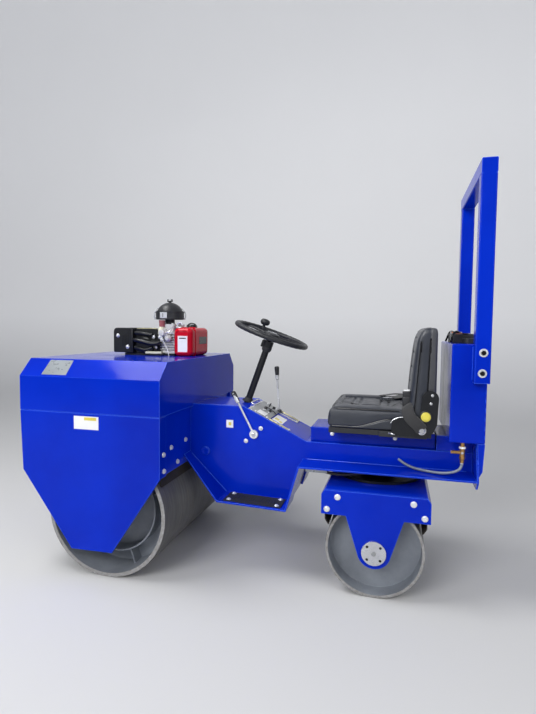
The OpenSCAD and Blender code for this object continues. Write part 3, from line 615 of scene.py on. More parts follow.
SHEETS = [  # node, edge radius in millimetres
    ("bonnet", 3.5), ("side_plate_l", 1.8), ("side_plate_r", 1.8), ("front_panel", 1.5),
    ("rear_panel", 1.2), ("spine_plate_l", 1.2), ("spine_plate_r", 1.2), ("console_top", 1.2),
    ("deck", 1.2), ("tray_l", 1.8), ("tray_r", 1.8), ("seat_base", 4), ("tank_stand", 2), ("water_tank", 7),
    ("roll_bar", 2), ("tail_plate", 1.4), ("yoke_head", 2), ("yoke_plate_l", 1.8), ("yoke_plate_r", 1.8),
    ("hub_flange_l", 1.2), ("hub_flange_r", 1.2), ("front_drum", 2.5), ("rear_drum", 2),
    ("engine_shroud", 4), ("cylinder_head", 1.5), ("air_cleaner", 1.5), ("seat_pan", 3),
    ("seat_brackets", 1.5), ("dash_panel", 0.8), ("slew_ring", 1.5), ("battery", 2),
]
ON_YOKE = ("yoke_head", "yoke_plate_l", "yoke_plate_r", "hub_flange_l", "hub_flange_r", "slew_ring")
TREADS = {"front_drum": "front_tread", "rear_drum": "rear_tread"}  # each drum is a body of its own name
for node, radius in SHEETS:
    body = node if node in TREADS else "rear_yoke" if node in ON_YOKE else "chassis"
    rounded(node, radius / 1000, body, TREADS.get(node, slot_of[node]))


# ------------------------------------------------------------------ welds

def add_welds():
    """Beads along the running boards, the console's edge, the water tank and the roll bar."""
    bm = bmesh.new()
    spine = high("spine_plate_l").y
    tray_low, tray_high = low("tray_l"), high("tray_l")
    box_x = low("bonnet").x
    shelf = tray_high.z
    step_front = box_x - 0.187
    step_rear = step_front - 0.326
    floor_front, floor_rear = 0.345, 0.334
    lift = 0.001
    deck = high("deck")
    brow = (box_x - 0.268, high("console_top").z)
    for s in (1, -1):
        y = s * (spine + lift)
        corner = [(box_x + 0.001, y, shelf - 0.015), (step_front, y, floor_front),
            (step_rear, y, floor_rear), (step_rear - 0.058, y, shelf), (tray_low.x + 0.004, y, shelf)]
        bead(bm, corner[0], corner[1])
        bead(bm, corner[2], corner[3])
        bead(bm, (corner[3][0] - 0.02, y, shelf + lift), (corner[4][0] + 0.02, y, shelf + lift), 0.0026)
        inner = s * (spine - 0.009)
        console = [(box_x - 0.004, inner, brow[1]), (brow[0], inner, brow[1]), (deck.x, inner, deck.z)]
        bead(bm, console[0], console[1], 0.0016, 0.004)
        bead(bm, console[1], console[2], 0.0016, 0.004)
    tank_low, tank_high = low("water_tank"), high("water_tank")
    stitch, pitch = 0.016, 0.038
    for s in (1, -1):
        x, y = tank_low.x + 0.004, s * (tank_high.y - 0.0008)
        for k in range(7):
            z = tank_low.z + 0.02 + k * pitch
            bead(bm, (x, y, z), (x, y, z + stitch), 0.0022)
    bar = low("roll_bar")
    for s in (1, -1):
        x, y = bar.x + 0.060, s * 0.2645
        bead(bm, (x, y, bar.z + 0.01), (x, y, tank_high.z - 0.01), 0.0024)
    # The beads' paler blue is a painted highlight
    settle(bm, "weld_beads", "weld_highlight_paint")


add_welds()


# ------------------------------------------------------------------ fasteners

def add_fasteners():
    """Bolts, screws and plugs of the sheets, the roll bar and the yoke, the same on both sides."""
    bright, black, yoke, yoke_black, centre, plug = (bmesh.new() for _ in range(6))
    panel = low("rear_panel").x
    flange = low("side_plate_l").x
    rows = [(0.201, 0.605, panel), (0.360, 0.602, panel), (0.293, 0.519, panel), (0.460, 0.593, flange),
        (0.456, 0.518, flange)]
    for s in (1, -1):
        for y, z, x in rows:
            hex_bolt(bright, (x, s * y, z), (-1, 0, 0), 0.0105)
        bar_y = s * high("roll_bar").y
        for x, z in ((-1.008, 1.070), (-1.006, 0.988)):
            lathe(bright, (x, bar_y, z), (0, s, 0), [(8, 0), (16.5, 0), (17.2, 1), (16.5, 3.5), (10, 4.5),
                (9.8, 1), (8, 0)], 32)
            socket_bolt(black, (x, bar_y, z), (0, s, 0), 0.0085)
        plate = high("yoke_plate_l").y
        axle = middle("hub_flange_l")
        for x, z in ((0.1575, 0.436), (-0.1575, 0.436), (0.203, 0.380), (-0.203, 0.380)):
            hex_bolt(yoke, (axle.x + x, s * plate, z), (0, s, 0), 0.0118)
        hub = high("hub_flange_l").y
        for k in range(4):
            a = math.radians(45 + 90 * k)
            at = (axle.x + 0.039 * math.cos(a), s * (hub - 0.0048), axle.z + 0.039 * math.sin(a))
            lathe(yoke_black, at, (0, s, 0), [(6.8, 0), (6.8, 4.2), (5.4, 5), (3.4, 5), (3.1, 2),
                (0, 1.8)], 20)
        lathe(centre, (axle.x, s * hub, axle.z), (0, s, 0), [(10, 0), (10, 1.6), (8.5, 2.4), (4, 2.4),
            (3, 0.8), (0, 0.6)], 24)
        spine = s * high("spine_plate_l").y
        for x, z in ((-0.047, 0.673), (0.028, 0.606)):
            dome_bolt(bright, (x, spine, z), (0, s, 0), 0.0105)
        lathe(plug, (0.241, spine, 0.541), (0, s, 0), [(21.5, 0), (21.5, 2.2), (19.5, 4.2), (16, 4.8),
            (12.5, 3.6), (0, 3.4)], 36)
        base_y = s * high("seat_base").y
        for x, z in ((-0.389, 0.662), (-0.678, 0.660)):
            hex_bolt(bright, (x, base_y, z), (0, s, 0), 0.0085)
    settle(bright, "chassis_bolts", "white_zinc", sharp=30)
    settle(plug, "frame_plugs", "body_paint")
    settle(black, "roll_bar_screws", "gloss_black", sharp=30)
    settle(yoke, "yoke_bolts", "white_zinc", "rear_yoke", sharp=30)
    settle(yoke_black, "hub_screws", "gloss_black", "rear_yoke", sharp=30)
    settle(centre, "hub_centres", "grey_panel", "rear_yoke", sharp=30)


add_fasteners()


def add_mat_details():
    """Ribbed rubber mats with a washer and screw at each corner."""
    box_lo, box_hi = low("mats"), high("mats")
    fall, run = 0.011, 0.326
    slope = math.atan2(fall, run)
    screws, ribs = bmesh.new(), bmesh.new()
    for s in (1, -1):
        y0, y1 = 0.156, box_hi.y
        for x in (box_lo.x + 0.022, box_hi.x - 0.022):
            z = box_hi.z - (box_hi.x - x) * math.tan(slope) - 0.0002
            for y in (y0 + 0.016, y1 - 0.018):
                dome_bolt(screws, (x, s * y, z), (-math.sin(slope), 0, math.cos(slope)), 0.0115)
        count, margin = 16, 0.045
        for k in range(count):
            x = box_lo.x + margin + k * (box_hi.x - box_lo.x - 2 * margin) / (count - 1)
            z = box_hi.z - (box_hi.x - x) * math.tan(slope)
            lo, hi = sorted((s * (y0 + 0.030), s * (y1 - 0.032)))
            brick(ribs, (x - 0.004, lo, z - 0.001), (x + 0.004, hi, z + 0.0016), 0.0008, 1)
    settle(screws, "mat_screws", "white_zinc", sharp=30)
    settle(ribs, "mat_ribs", "rubber")


add_mat_details()


# ------------------------------------------------------------------ blank plates

def add_plates():
    """Blank stickers on the near side, where the machine carries them."""
    bonnet = high("bonnet")
    side = bonnet.y
    white, yellow, grey = bmesh.new(), bmesh.new(), bmesh.new()
    seam = low("bonnet").z
    brick(white, (0.616, side, seam - 0.072), (0.744, side + 0.0008, seam - 0.012), 0.0003, 1)
    brick(yellow, (0.627, side + 0.0006, seam - 0.030), (0.690, side + 0.0012, seam - 0.016), 0.0002, 1)
    spine = high("spine_plate_l").y
    brick(white, (0.094, spine, 0.667), (0.130, spine + 0.0008, 0.705), 0.0003, 1)
    brick(yellow, (0.104, spine + 0.0006, 0.678), (0.118, spine + 0.0011, 0.694), 0.0002, 1)
    # On the side bevel: a plate that follows the slope, from one height to another as shares of it
    low_edge = Vector((0, side, 0.925))
    high_edge = Vector((0, side - 0.076, bonnet.z))
    up = (high_edge - low_edge).normalized()
    out = up.cross(Vector((1, 0, 0))).normalized()
    if out.y < 0:
        out = -out
    a, b, thick = 0.10, 0.92, 0.0009
    corners = [(0.790, a), (0.922, a), (0.918, b), (0.793, b)]
    base = [low_edge + (high_edge - low_edge) * t + Vector((x, 0, 0)) for x, t in corners]
    under = [grey.verts.new(p) for p in base]
    over = [grey.verts.new(p + out * thick) for p in base]
    grey.faces.new(over)
    grey.faces.new(list(reversed(under)))
    for i in range(4):
        j = (i + 1) % 4
        grey.faces.new((under[i], under[j], over[j], over[i]))
    settle(white, "blank_plates", "white_foil")
    settle(yellow, "blank_patches", "yellow_foil")
    settle(grey, "bevel_plate", "grey_foil")


add_plates()


# ------------------------------------------------------------------ engine

def add_engine():
    """Small parts of the engine, the shells of its muffler and fuel tank, and its blank labels."""
    top = high("bonnet").z
    guard_lo, guard_hi = low("muffler"), high("muffler")
    side = guard_hi.y
    silver, black, cast, cream, pink, yellow = (bmesh.new() for _ in range(6))
    # Heat guard: two screws, a pressed rim and the slotted field
    for x, z in ((guard_hi.x - 0.028, guard_hi.z - 0.043), (guard_hi.x - 0.087, guard_hi.z - 0.105)):
        dome_bolt(silver, (x, side, z), (0, 1, 0), 0.0105)
    guard = bmesh.new()
    prism(guard, round_outline([(guard_lo.x, guard_lo.z, 0.003), (guard_hi.x, guard_lo.z, 0.010),
        (guard_hi.x, guard_hi.z, 0.024), (guard_lo.x, guard_hi.z, 0.006)], 7), (guard_lo.y, side), "XZ",
        0.0035)
    brick(guard, (guard_lo.x - 0.0005, side - 0.012, guard_lo.z + 0.006),
        (guard_lo.x + 0.017, side + 0.0035, guard_hi.z + 0.001), 0.003, 3)
    for k in range(5):
        brick(guard, (guard_lo.x + 0.030 + k * 0.009, side - 0.002, guard_lo.z + 0.036),
            (guard_lo.x + 0.034 + k * 0.009, side + 0.0014, guard_hi.z - 0.038), 0.0006, 1)
    settle(guard, "muffler_shell", "dark_metal", replaced=("muffler",), sharp=40)
    # Nuts along the shroud's top edge, and on its side
    shroud_lo, shroud_hi = low("engine_shroud"), high("engine_shroud")
    for x in (shroud_hi.x - 0.048, shroud_hi.x - 0.092, shroud_hi.x - 0.118):
        hex_bolt(yellow, (x, side - 0.030, shroud_hi.z), UP, 0.0065)
    wire = [(x, side - 0.024, shroud_hi.z + 0.001) for x in (shroud_hi.x - 0.012, shroud_lo.x + 0.012)]
    tube(yellow, wire, 0.0018, 8)
    for x, z in ((0.610, 1.104), (0.572, 1.105), (0.561, 1.092), (0.597, 1.048)):
        dome_bolt(silver, (x, side - 0.0115, z), (0, 1, 0), 0.0095)
    # Air duct that wraps the shroud's near side
    path = smooth_path([(0.715, side - 0.004, 1.088), (0.690, side + 0.004, 1.086),
        (0.655, side + 0.004, 1.080), (0.620, side + 0.003, 1.072), (0.590, side - 0.001, 1.070),
        (0.570, side - 0.006, 1.074)], 6)
    last = len(path) - 1
    tube(black, path, [0.022 + 0.008 * math.sin(math.pi * k / last) for k in range(last + 1)], 16, flat=0.5)
    pipe(black, [(0.716, side - 0.006, 1.125), (0.665, side + 0.002, 1.122), (0.615, side - 0.004, 1.115)],
        0.010, 12)
    pipe(black, [(0.716, side - 0.006, 1.045), (0.680, side + 0.004, 1.040), (0.650, side, 1.034),
        (0.612, side - 0.006, 1.046)], 0.012, 12)
    # Starter housing low on the side
    lathe(black, (0.668, side - 0.014, 1.060), (0, 1, 0), [(45, 0), (44, 6), (30, 11), (12, 13), (0, 13)],
        32)
    # Cream rail on the bonnet in front of the block
    brick(cream, (0.556, side - 0.016, top + 0.011), (0.650, side + 0.008, top + 0.023), 0.002)
    brick(black, (0.554, side - 0.018, top + 0.0005), (0.652, side + 0.006, top + 0.011), 0.001)
    # Cylinder head: cover nuts, injector, pipes and the intake elbow
    head_lo, head_hi = low("cylinder_head"), high("cylinder_head")
    for x, y in ((head_lo.x + 0.020, -0.050), (head_hi.x - 0.020, -0.050), (head_lo.x + 0.022, -0.150),
            (head_hi.x - 0.022, -0.150)):
        hex_bolt(silver, (x, y, head_hi.z), UP, 0.008)
    lathe(cast, (0.560, side - 0.032, 1.128), (0, 1, 0), [(26, 0), (26, 12), (18, 20), (16, 30), (0, 31)],
        24)
    lathe(cast, (0.530, side - 0.032, 1.098), (0, 1, 0), [(20, 0), (20, 12), (11, 22), (0, 23)], 20)
    lathe(pink, (0.568, side - 0.030, 1.158), UP, [(13, 0), (15.5, 6), (16, 20), (18, 38), (0, 38)], 20)
    lathe(cream, (0.570, side - 0.026, 1.118), UP, [(16, 0), (18.5, 4), (17.5, 30), (14.5, 42), (0, 43)],
        20)
    pipe(silver, [(0.536, side - 0.024, 1.120), (0.530, side - 0.006, 1.128), (0.512, side - 0.006, 1.136),
        (0.500, side - 0.020, 1.160), (0.492, side - 0.036, 1.176)], 0.0032, 8)
    pipe(silver, [(0.556, side - 0.002, 1.109), (0.545, side + 0.004, 1.085), (0.531, side + 0.004, 1.059),
        (0.518, side + 0.004, 1.030), (0.511, side + 0.003, 1.0045)], 0.0021, 8)
    pipe(black, [(0.600, side - 0.004, 1.046), (0.585, side + 0.002, 1.020), (0.560, side + 0.003, 1.012),
        (0.545, side - 0.010, 1.006)], 0.0045, 8)
    settle(black, "engine_ducts", "dark_metal")
    settle(cast, "head_bosses", "cast_metal")
    settle(cream, "cream_rail", "cream")
    settle(pink, "intake_elbow", "pink_rubber")
    settle(yellow, "shroud_nuts", "yellow_zinc", sharp=30)
    # Air cleaner: wire clips, their catches and a blank label
    cup = middle("air_cleaner")
    r = (high("air_cleaner").x - low("air_cleaner").x) / 2
    base = high("air_cleaner").z - 0.117
    for a in (40, 195, 290):
        turn = Matrix.Translation((cup.x, cup.y, base)) @ Matrix.Rotation(math.radians(a), 4, "Z")
        wire = [turn @ Vector(p) for p in ((r + 0.001, -0.008, 0.004), (r + 0.006, -0.008, 0.018),
            (r + 0.004, -0.007, 0.040), (r - 0.012, -0.005, 0.060), (r - 0.016, 0.0, 0.062),
            (r - 0.012, 0.005, 0.060), (r + 0.004, 0.007, 0.040), (r + 0.006, 0.008, 0.018),
            (r + 0.001, 0.008, 0.004))]
        pipe(silver, wire, 0.0018, 8, per=4)
        brick(silver, (-0.010, -0.009, 0), (0.004, 0.009, 0.010), 0.001, 2,
            turn @ Matrix.Translation((r + 0.001, 0, 0.001)))
    # Wing nut on the cleaner's lid
    crown = high("air_cleaner").z
    lathe(silver, (cup.x, cup.y, crown - 0.012), UP, [(8.5, 0), (9, 1), (7, 9), (5, 11.5), (0, 11.8)], 20)
    for y in (cup.y, cup.y - 0.0150):
        brick(silver, (cup.x - 0.0025, y, crown - 0.008), (cup.x + 0.0025, y + 0.0150, crown - 0.001),
            0.002)
    settle(silver, "engine_bright", "white_zinc", sharp=30)
    label, dark, pale = bmesh.new(), bmesh.new(), bmesh.new()
    steps = 8
    for plate, a0, a1, z0, z1, lift in ((label, 74, 104, 0.008, 0.040, 0.0004),
            (dark, 87, 89, 0.014, 0.034, 0.0008)):
        rows = []
        for k in range(steps + 1):
            a = math.radians(a0 + (a1 - a0) * k / steps)
            x, y = cup.x + (r + lift) * math.cos(a), cup.y + (r + lift) * math.sin(a)
            rows.append([plate.verts.new((x, y, base + z)) for z in (z0, z1)])
        for p, q in zip(rows, rows[1:]):
            plate.faces.new((p[0], q[0], q[1], p[1]))
        bmesh.ops.solidify(plate, geom=list(plate.faces), thickness=0.0006)
    # Fuel tank: swollen pressed shell with its seam, a border and blank labels
    tank_lo, tank_hi = low("fuel_tank"), high("fuel_tank")
    near_tank, roof = tank_hi.y, tank_hi.z - 0.018
    x0 = tank_lo.x + 0.003
    shell = bmesh.new()
    brick(shell, (x0, tank_lo.y, top), (tank_hi.x, near_tank, roof), 0.026, 7)
    flange = round_outline([(tank_lo.x, top + 0.0005, 0.020), (tank_hi.x, top + 0.0005, 0.020),
        (tank_hi.x, roof + 0.003, 0.024), (tank_lo.x, roof + 0.003, 0.024)])
    seam_y = near_tank - 0.055
    prism(shell, flange, (seam_y - 0.004, seam_y), "XZ", 0.0008)
    neck = Vector((x0 + 0.059, tank_hi.y - 0.1375, roof - 0.004))
    lathe(shell, neck, UP, [(30, 0), (28, 6), (27, 8), (27, 14), (0, 14)], 32)
    loop = round_outline([(x0 + 0.018, top + 0.018, 0.018), (tank_hi.x - 0.016, top + 0.018, 0.018),
        (tank_hi.x - 0.016, roof - 0.018, 0.018), (x0 + 0.018, roof - 0.018, 0.018)])
    tube(shell, even([Vector((x, near_tank - 0.0006, z)) for x, z in loop], 0.004, True), 0.0028, 8, True)
    settle(shell, "fuel_tank_shell", "tank_red", replaced=("fuel_tank",), sharp=40, weight=True)
    brick(label, (x0 + 0.024, near_tank, top + 0.024), (x0 + 0.078, near_tank + 0.0012, top + 0.108),
        0.0003, 1)
    brick(pale, (x0 + 0.021, near_tank, top + 0.021), (x0 + 0.081, near_tank + 0.0008, top + 0.111),
        0.0003, 1)
    brick(dark, (x0 + 0.032, near_tank + 0.0010, top + 0.094),
        (x0 + 0.070, near_tank + 0.0016, top + 0.100), 0.0002, 1)
    brick(dark, (x0 - 0.0008, near_tank - 0.215, top + 0.064),
        (x0 + 0.0004, near_tank - 0.105, top + 0.104), 0.0002, 1)
    settle(label, "engine_labels", "white_foil")
    settle(pale, "tank_label_frame", "pink_foil")
    settle(dark, "dark_labels", "dark_foil")
    bail, chrome = bmesh.new(), bmesh.new()
    mid = tank_lo.x + 0.048
    # Low bail over the cap, as a flat bowed strip
    pipe(bail, [(mid, -0.050, roof - 0.002), (mid, -0.056, roof + 0.012), (mid, -0.078, roof + 0.021),
        (mid, -0.112, roof + 0.024), (mid, -0.150, roof + 0.020), (mid, -0.172, roof + 0.010),
        (mid, -0.178, roof - 0.002)], 0.0036)
    lathe(bail, neck + Vector((0, 0, 0.008)), UP, [(28.5, 0), (28.5, 9), (26, 13), (12, 14), (0, 14)], 28)
    settle(bail, "tank_cap_and_bail", "gloss_black")
    brick(chrome, (tank_hi.x - 0.038, near_tank - 0.040, roof - 0.002),
        (tank_hi.x - 0.010, near_tank - 0.016, roof + 0.004), 0.001)
    pipe(chrome, [(tank_hi.x - 0.010, near_tank - 0.028, roof + 0.004),
        (tank_hi.x - 0.020, near_tank - 0.028, roof + 0.024),
        (tank_hi.x - 0.036, near_tank - 0.028, roof + 0.026),
        (tank_hi.x - 0.044, near_tank - 0.028, roof + 0.012)], 0.0045, 8, per=5)
    settle(chrome, "tank_clip", "white_zinc")


add_engine()


# ------------------------------------------------------------------ seat

def bake(obj):
    """Put what the modifiers make into the mesh."""
    mesh = bpy.data.meshes.new_from_object(obj.evaluated_get(bpy.context.evaluated_depsgraph_get()))
    obj.modifiers.clear()
    obj.data = mesh


def skin(bm, name, voxel, soften):
    """The closed form in bm as an even skin of small quads, its edges softened."""
    bmesh.ops.recalc_face_normals(bm, faces=bm.faces)
    mesh = bpy.data.meshes.new(name)
    bm.to_mesh(mesh)
    bm.free()
    obj = bpy.data.objects.new(name, mesh)
    bpy.context.scene.collection.objects.link(obj)
    mod = obj.modifiers.new("skin", "REMESH")
    mod.mode = "VOXEL"
    mod.voxel_size = voxel
    mod = obj.modifiers.new("soft", "SMOOTH")
    mod.iterations = soften
    bake(obj)
    return obj


def inflate(obj, hold, cap):
    """Swell a pad by a short cloth simulation. hold(point, normal) is how firmly a point stays, 0 to 1."""
    start = [v.co.copy() for v in obj.data.vertices]
    group = obj.vertex_groups.new(name="held")
    for v in obj.data.vertices:
        w = hold(v.co, v.normal)
        if w > 0.01:
            group.add([v.index], w, "REPLACE")
    cloth = obj.modifiers.new("cloth", "CLOTH")
    cloth.settings.quality = 4
    cloth.settings.vertex_group_mass = "held"
    cloth.settings.use_pressure = True
    cloth.settings.uniform_pressure_force = 4.0
    cloth.settings.effector_weights.gravity = 0
    cloth.settings.bending_stiffness = 3.0
    cloth.collision_settings.use_collision = False
    last = 20
    cloth.point_cache.frame_start, cloth.point_cache.frame_end = 1, last
    for f in range(1, last + 1):
        bpy.context.scene.frame_set(f)
    bake(obj)
    for v, p in zip(obj.data.vertices, start):
        move = v.co - p
        if move.length > 1e-7:
            v.co = p + move.normalized() * cap * math.tanh(move.length / cap)
    obj.vertex_groups.clear()
    bpy.context.scene.frame_set(1)


def finer(obj):
    """Split every face of the skin into four, smoothly."""
    mod = obj.modifiers.new("fine", "SUBSURF")
    mod.levels = mod.render_levels = 1
    bake(obj)


def carve(obj, depth_at):
    """Press the skin in along its normals by depth_at(point, normal)."""
    mesh = obj.data
    normals = [v.normal.copy() for v in mesh.vertices]
    for v, n in zip(mesh.vertices, normals):
        d = depth_at(v.co, n)
        if d:
            v.co -= n * d


def tree_of(obj):
    """Search tree of an object's surface, for laid_on."""
    mesh = obj.data
    return BVHTree.FromPolygons([v.co.copy() for v in mesh.vertices],
        [tuple(p.vertices) for p in mesh.polygons])


def laid_on(tree, rays, lift):
    """Where rays of (start, direction) meet a surface, lifted off it."""
    out = []
    for start, way in rays:
        way = Vector(way).normalized()
        hit = tree.ray_cast(Vector(start), way)[0]
        if hit is not None:
            out.append(hit - way * lift)
    return out


def near(d, width):
    """1 on a line, falling to 0 within width of it."""
    return math.exp(-(d / width) ** 2)


def stitches(bm, path, closed=False, pitch=0.007, size=0.0009):
    """A row of short raised threads along a path."""
    pts = even(path, pitch, closed)
    for a, b in zip(pts, pts[1:]):
        if (b - a).length < 1e-5:
            continue
        start = (a + b) / 2 - (b - a).normalized() * pitch * 0.33
        lathe(bm, start, b - a, [(0, 0), (size, size * 0.8), (size, pitch * 0.66 - size * 0.8),
            (0, pitch * 0.66)], 5, unit=1)


SEAT_LO, SEAT_HI = low("seat_cushion"), high("seat_cushion")
BACK_LO, BACK_HI = low("seat_back"), high("seat_back")
PANEL_Y = 0.140
PANEL_X = SEAT_HI.x - 0.050
SEAM_ROWS = [s * (PANEL_Y + off) for s in (1, -1) for off in (0.006, -0.006)]


def cushion_seams(co):
    """Distance to the sewn lines on the cushion's top: the centre panel and the channels across it."""
    over = max(0, abs(co.y) - PANEL_Y)
    out = [abs(abs(co.y) - PANEL_Y) if co.x < PANEL_X else 9, math.hypot(co.x - PANEL_X, over)]
    for back in (0.098, 0.131, 0.232, 0.265):
        out.append(math.hypot(co.x - SEAT_HI.x + back, over))
    return min(out)


def smooth_step(t):
    """0 up to t = 0, 1 from t = 1, with soft ends between."""
    t = min(1.0, max(0.0, t))
    return t * t * (3 - 2 * t)


def side_curve(x):
    """Height of the cushion's lower seam at x."""
    return SEAT_LO.z + 0.009 + 0.042 * smooth_step((SEAT_HI.x - 0.115 - x) / 0.170)


def add_cushion():
    """The seat's pad with its sunk panel, piping and stitches."""
    bm = bmesh.new()
    slim = 0.006
    lo = SEAT_LO + Vector((0.002, slim, 0.0008))
    hi = SEAT_HI - Vector((slim - 0.002, slim - 0.002, 0.004))
    outline = round_outline([(lo.x, lo.z, 0.008), (hi.x, lo.z, 0.014), (hi.x - 0.006, hi.z, 0.034),
        (lo.x, hi.z, 0.012)])
    prism(bm, outline, (lo.y, hi.y), "XZ")
    pad = skin(bm, "seat_cushion_pad", 0.0055, 14)

    def hold(co, n):
        w = 1.0 if n.z < -0.5 else 0.0
        if n.z > 0.5:
            w = max(w, near(cushion_seams(co), 0.006))
        if abs(n.z) < 0.8:
            w = max(w, 0.9 * near(co.z - side_curve(co.x), 0.006), 0.5 * near(co.z - hi.z + 0.008, 0.006))
        if co.x < lo.x + 0.02:
            w = 1.0
        return w

    inflate(pad, hold, 0.009)
    finer(pad)

    def depth(co, n):
        d = 0.0
        if n.z > 0.3 and co.z > SEAT_HI.z - 0.03:
            # The centre panel lies lower than the bolsters, with a flat field in the middle of it
            inside = min(PANEL_Y - abs(co.y), PANEL_X - co.x)
            field = min(0.104 - abs(co.y), 0.0455 - abs(co.x - SEAT_HI.x + 0.1815))
            d = 0.0060 * smooth_step(inside / 0.022 + 0.3) + 0.0050 * near(cushion_seams(co), 0.0042)
            d += 0.0035 * near(field, 0.0035) - 0.0020 * smooth_step(field / 0.02)
            d += 0.006 * near(math.hypot(co.x - SEAT_HI.x + 0.2125, abs(co.y) - 0.124), 0.008)
        if n.z < 0.8:
            d = max(d, 0.0030 * near(co.z - side_curve(co.x), 0.004) if abs(n.z) < 0.9 else 0)
            d = max(d, 0.0030 * near(co.z - SEAT_HI.z + 0.012, 0.004))
            # The side swells between its seams
            t = (co.z - side_curve(co.x)) / (SEAT_HI.z - 0.012 - side_curve(co.x))
            if 0 < t < 1 and abs(n.z) < 0.7:
                d -= 0.0035 * math.sin(math.pi * t ** 0.75)
        return d

    carve(pad, depth)
    tree = tree_of(pad)
    cord, thread = bmesh.new(), bmesh.new()
    mid = (SEAT_LO + SEAT_HI) / 2
    hx, hy = (SEAT_HI.x - SEAT_LO.x) / 2, (SEAT_HI.y - SEAT_LO.y) / 2
    z = SEAT_HI.z - 0.012
    rays = []
    for k in range(160):
        a = 2 * math.pi * k / 160
        c, s = math.cos(a), math.sin(a)
        r = 1 / max(abs(c), abs(s))
        way_x = -c * r * hx if abs(c) >= abs(s) else -0.2 * c * hx
        way_y = -s * r * hy if abs(s) > abs(c) else -0.2 * s * hy
        rays.append(((mid.x + c * r * (hx + 0.05), mid.y + s * r * (hy + 0.05), z), (way_x, way_y, 0)))
    loop = relaxed(laid_on(tree, rays, 0.0012), True)
    tube(cord, even(loop, 0.006, True), 0.0030, 8, True)
    stitches(thread, [p + Vector((0, 0, 0.0055)) for p in loop], True)
    stops = [SEAT_LO.x + 0.05 + k * 0.008 for k in range(38)]
    left, right = (laid_on(tree, [((x, s * (hy + 0.05), side_curve(x)), (0, -s, 0)) for x in stops],
        0.0008) for s in (1, -1))
    front = laid_on(tree, [((SEAT_HI.x + 0.05, hy * (0.9 - 0.06 * k), side_curve(SEAT_HI.x)),
        (-1, 0, 0)) for k in range(31)], 0.0008)
    path = left + front + right[::-1]
    tube(cord, relaxed(even(path, 0.007), False), 0.0026, 8)
    settle(cord, "seat_cushion_piping", "gloss_black")
    for y in SEAM_ROWS:
        rays = [((SEAT_LO.x + 0.045 + k * 0.01, y, SEAT_HI.z + 0.05), (0, 0, -1)) for k in range(27)]
        stitches(thread, laid_on(tree, rays, 0.0004))
    settle(thread, "seat_cushion_stitches", "seam_thread")
    pad.data.shade_smooth()
    finish(pad, "seat_vinyl")
    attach(pad, "chassis")
    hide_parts("seat_cushion")


def back_front(z):
    """Where the front of the backrest lies at height z."""
    t = (z - BACK_LO.z) / (BACK_HI.z - BACK_LO.z)
    return BACK_HI.x - 0.030 * t


def back_seams(co):
    """Distance to the sewn lines on the front of the backrest."""
    z0, z1 = BACK_LO.z + 0.050, BACK_HI.z - 0.052
    out = [abs(abs(co.y) - PANEL_Y) if z0 - 0.02 < co.z < z1 else 9, math.hypot(co.z - z1,
        max(0, abs(co.y) - PANEL_Y))]
    for k in range(1, 5):
        out.append(math.hypot(co.z - z1 + (z1 - z0) * k / 4.6, max(0, abs(co.y) - PANEL_Y)))
    return min(out)


def shell_line(z):
    """X of the line between the padded cover and the shell behind it."""
    t = (z - BACK_LO.z) / (BACK_HI.z - BACK_LO.z)
    return BACK_LO.x + 0.046 - 0.014 * t


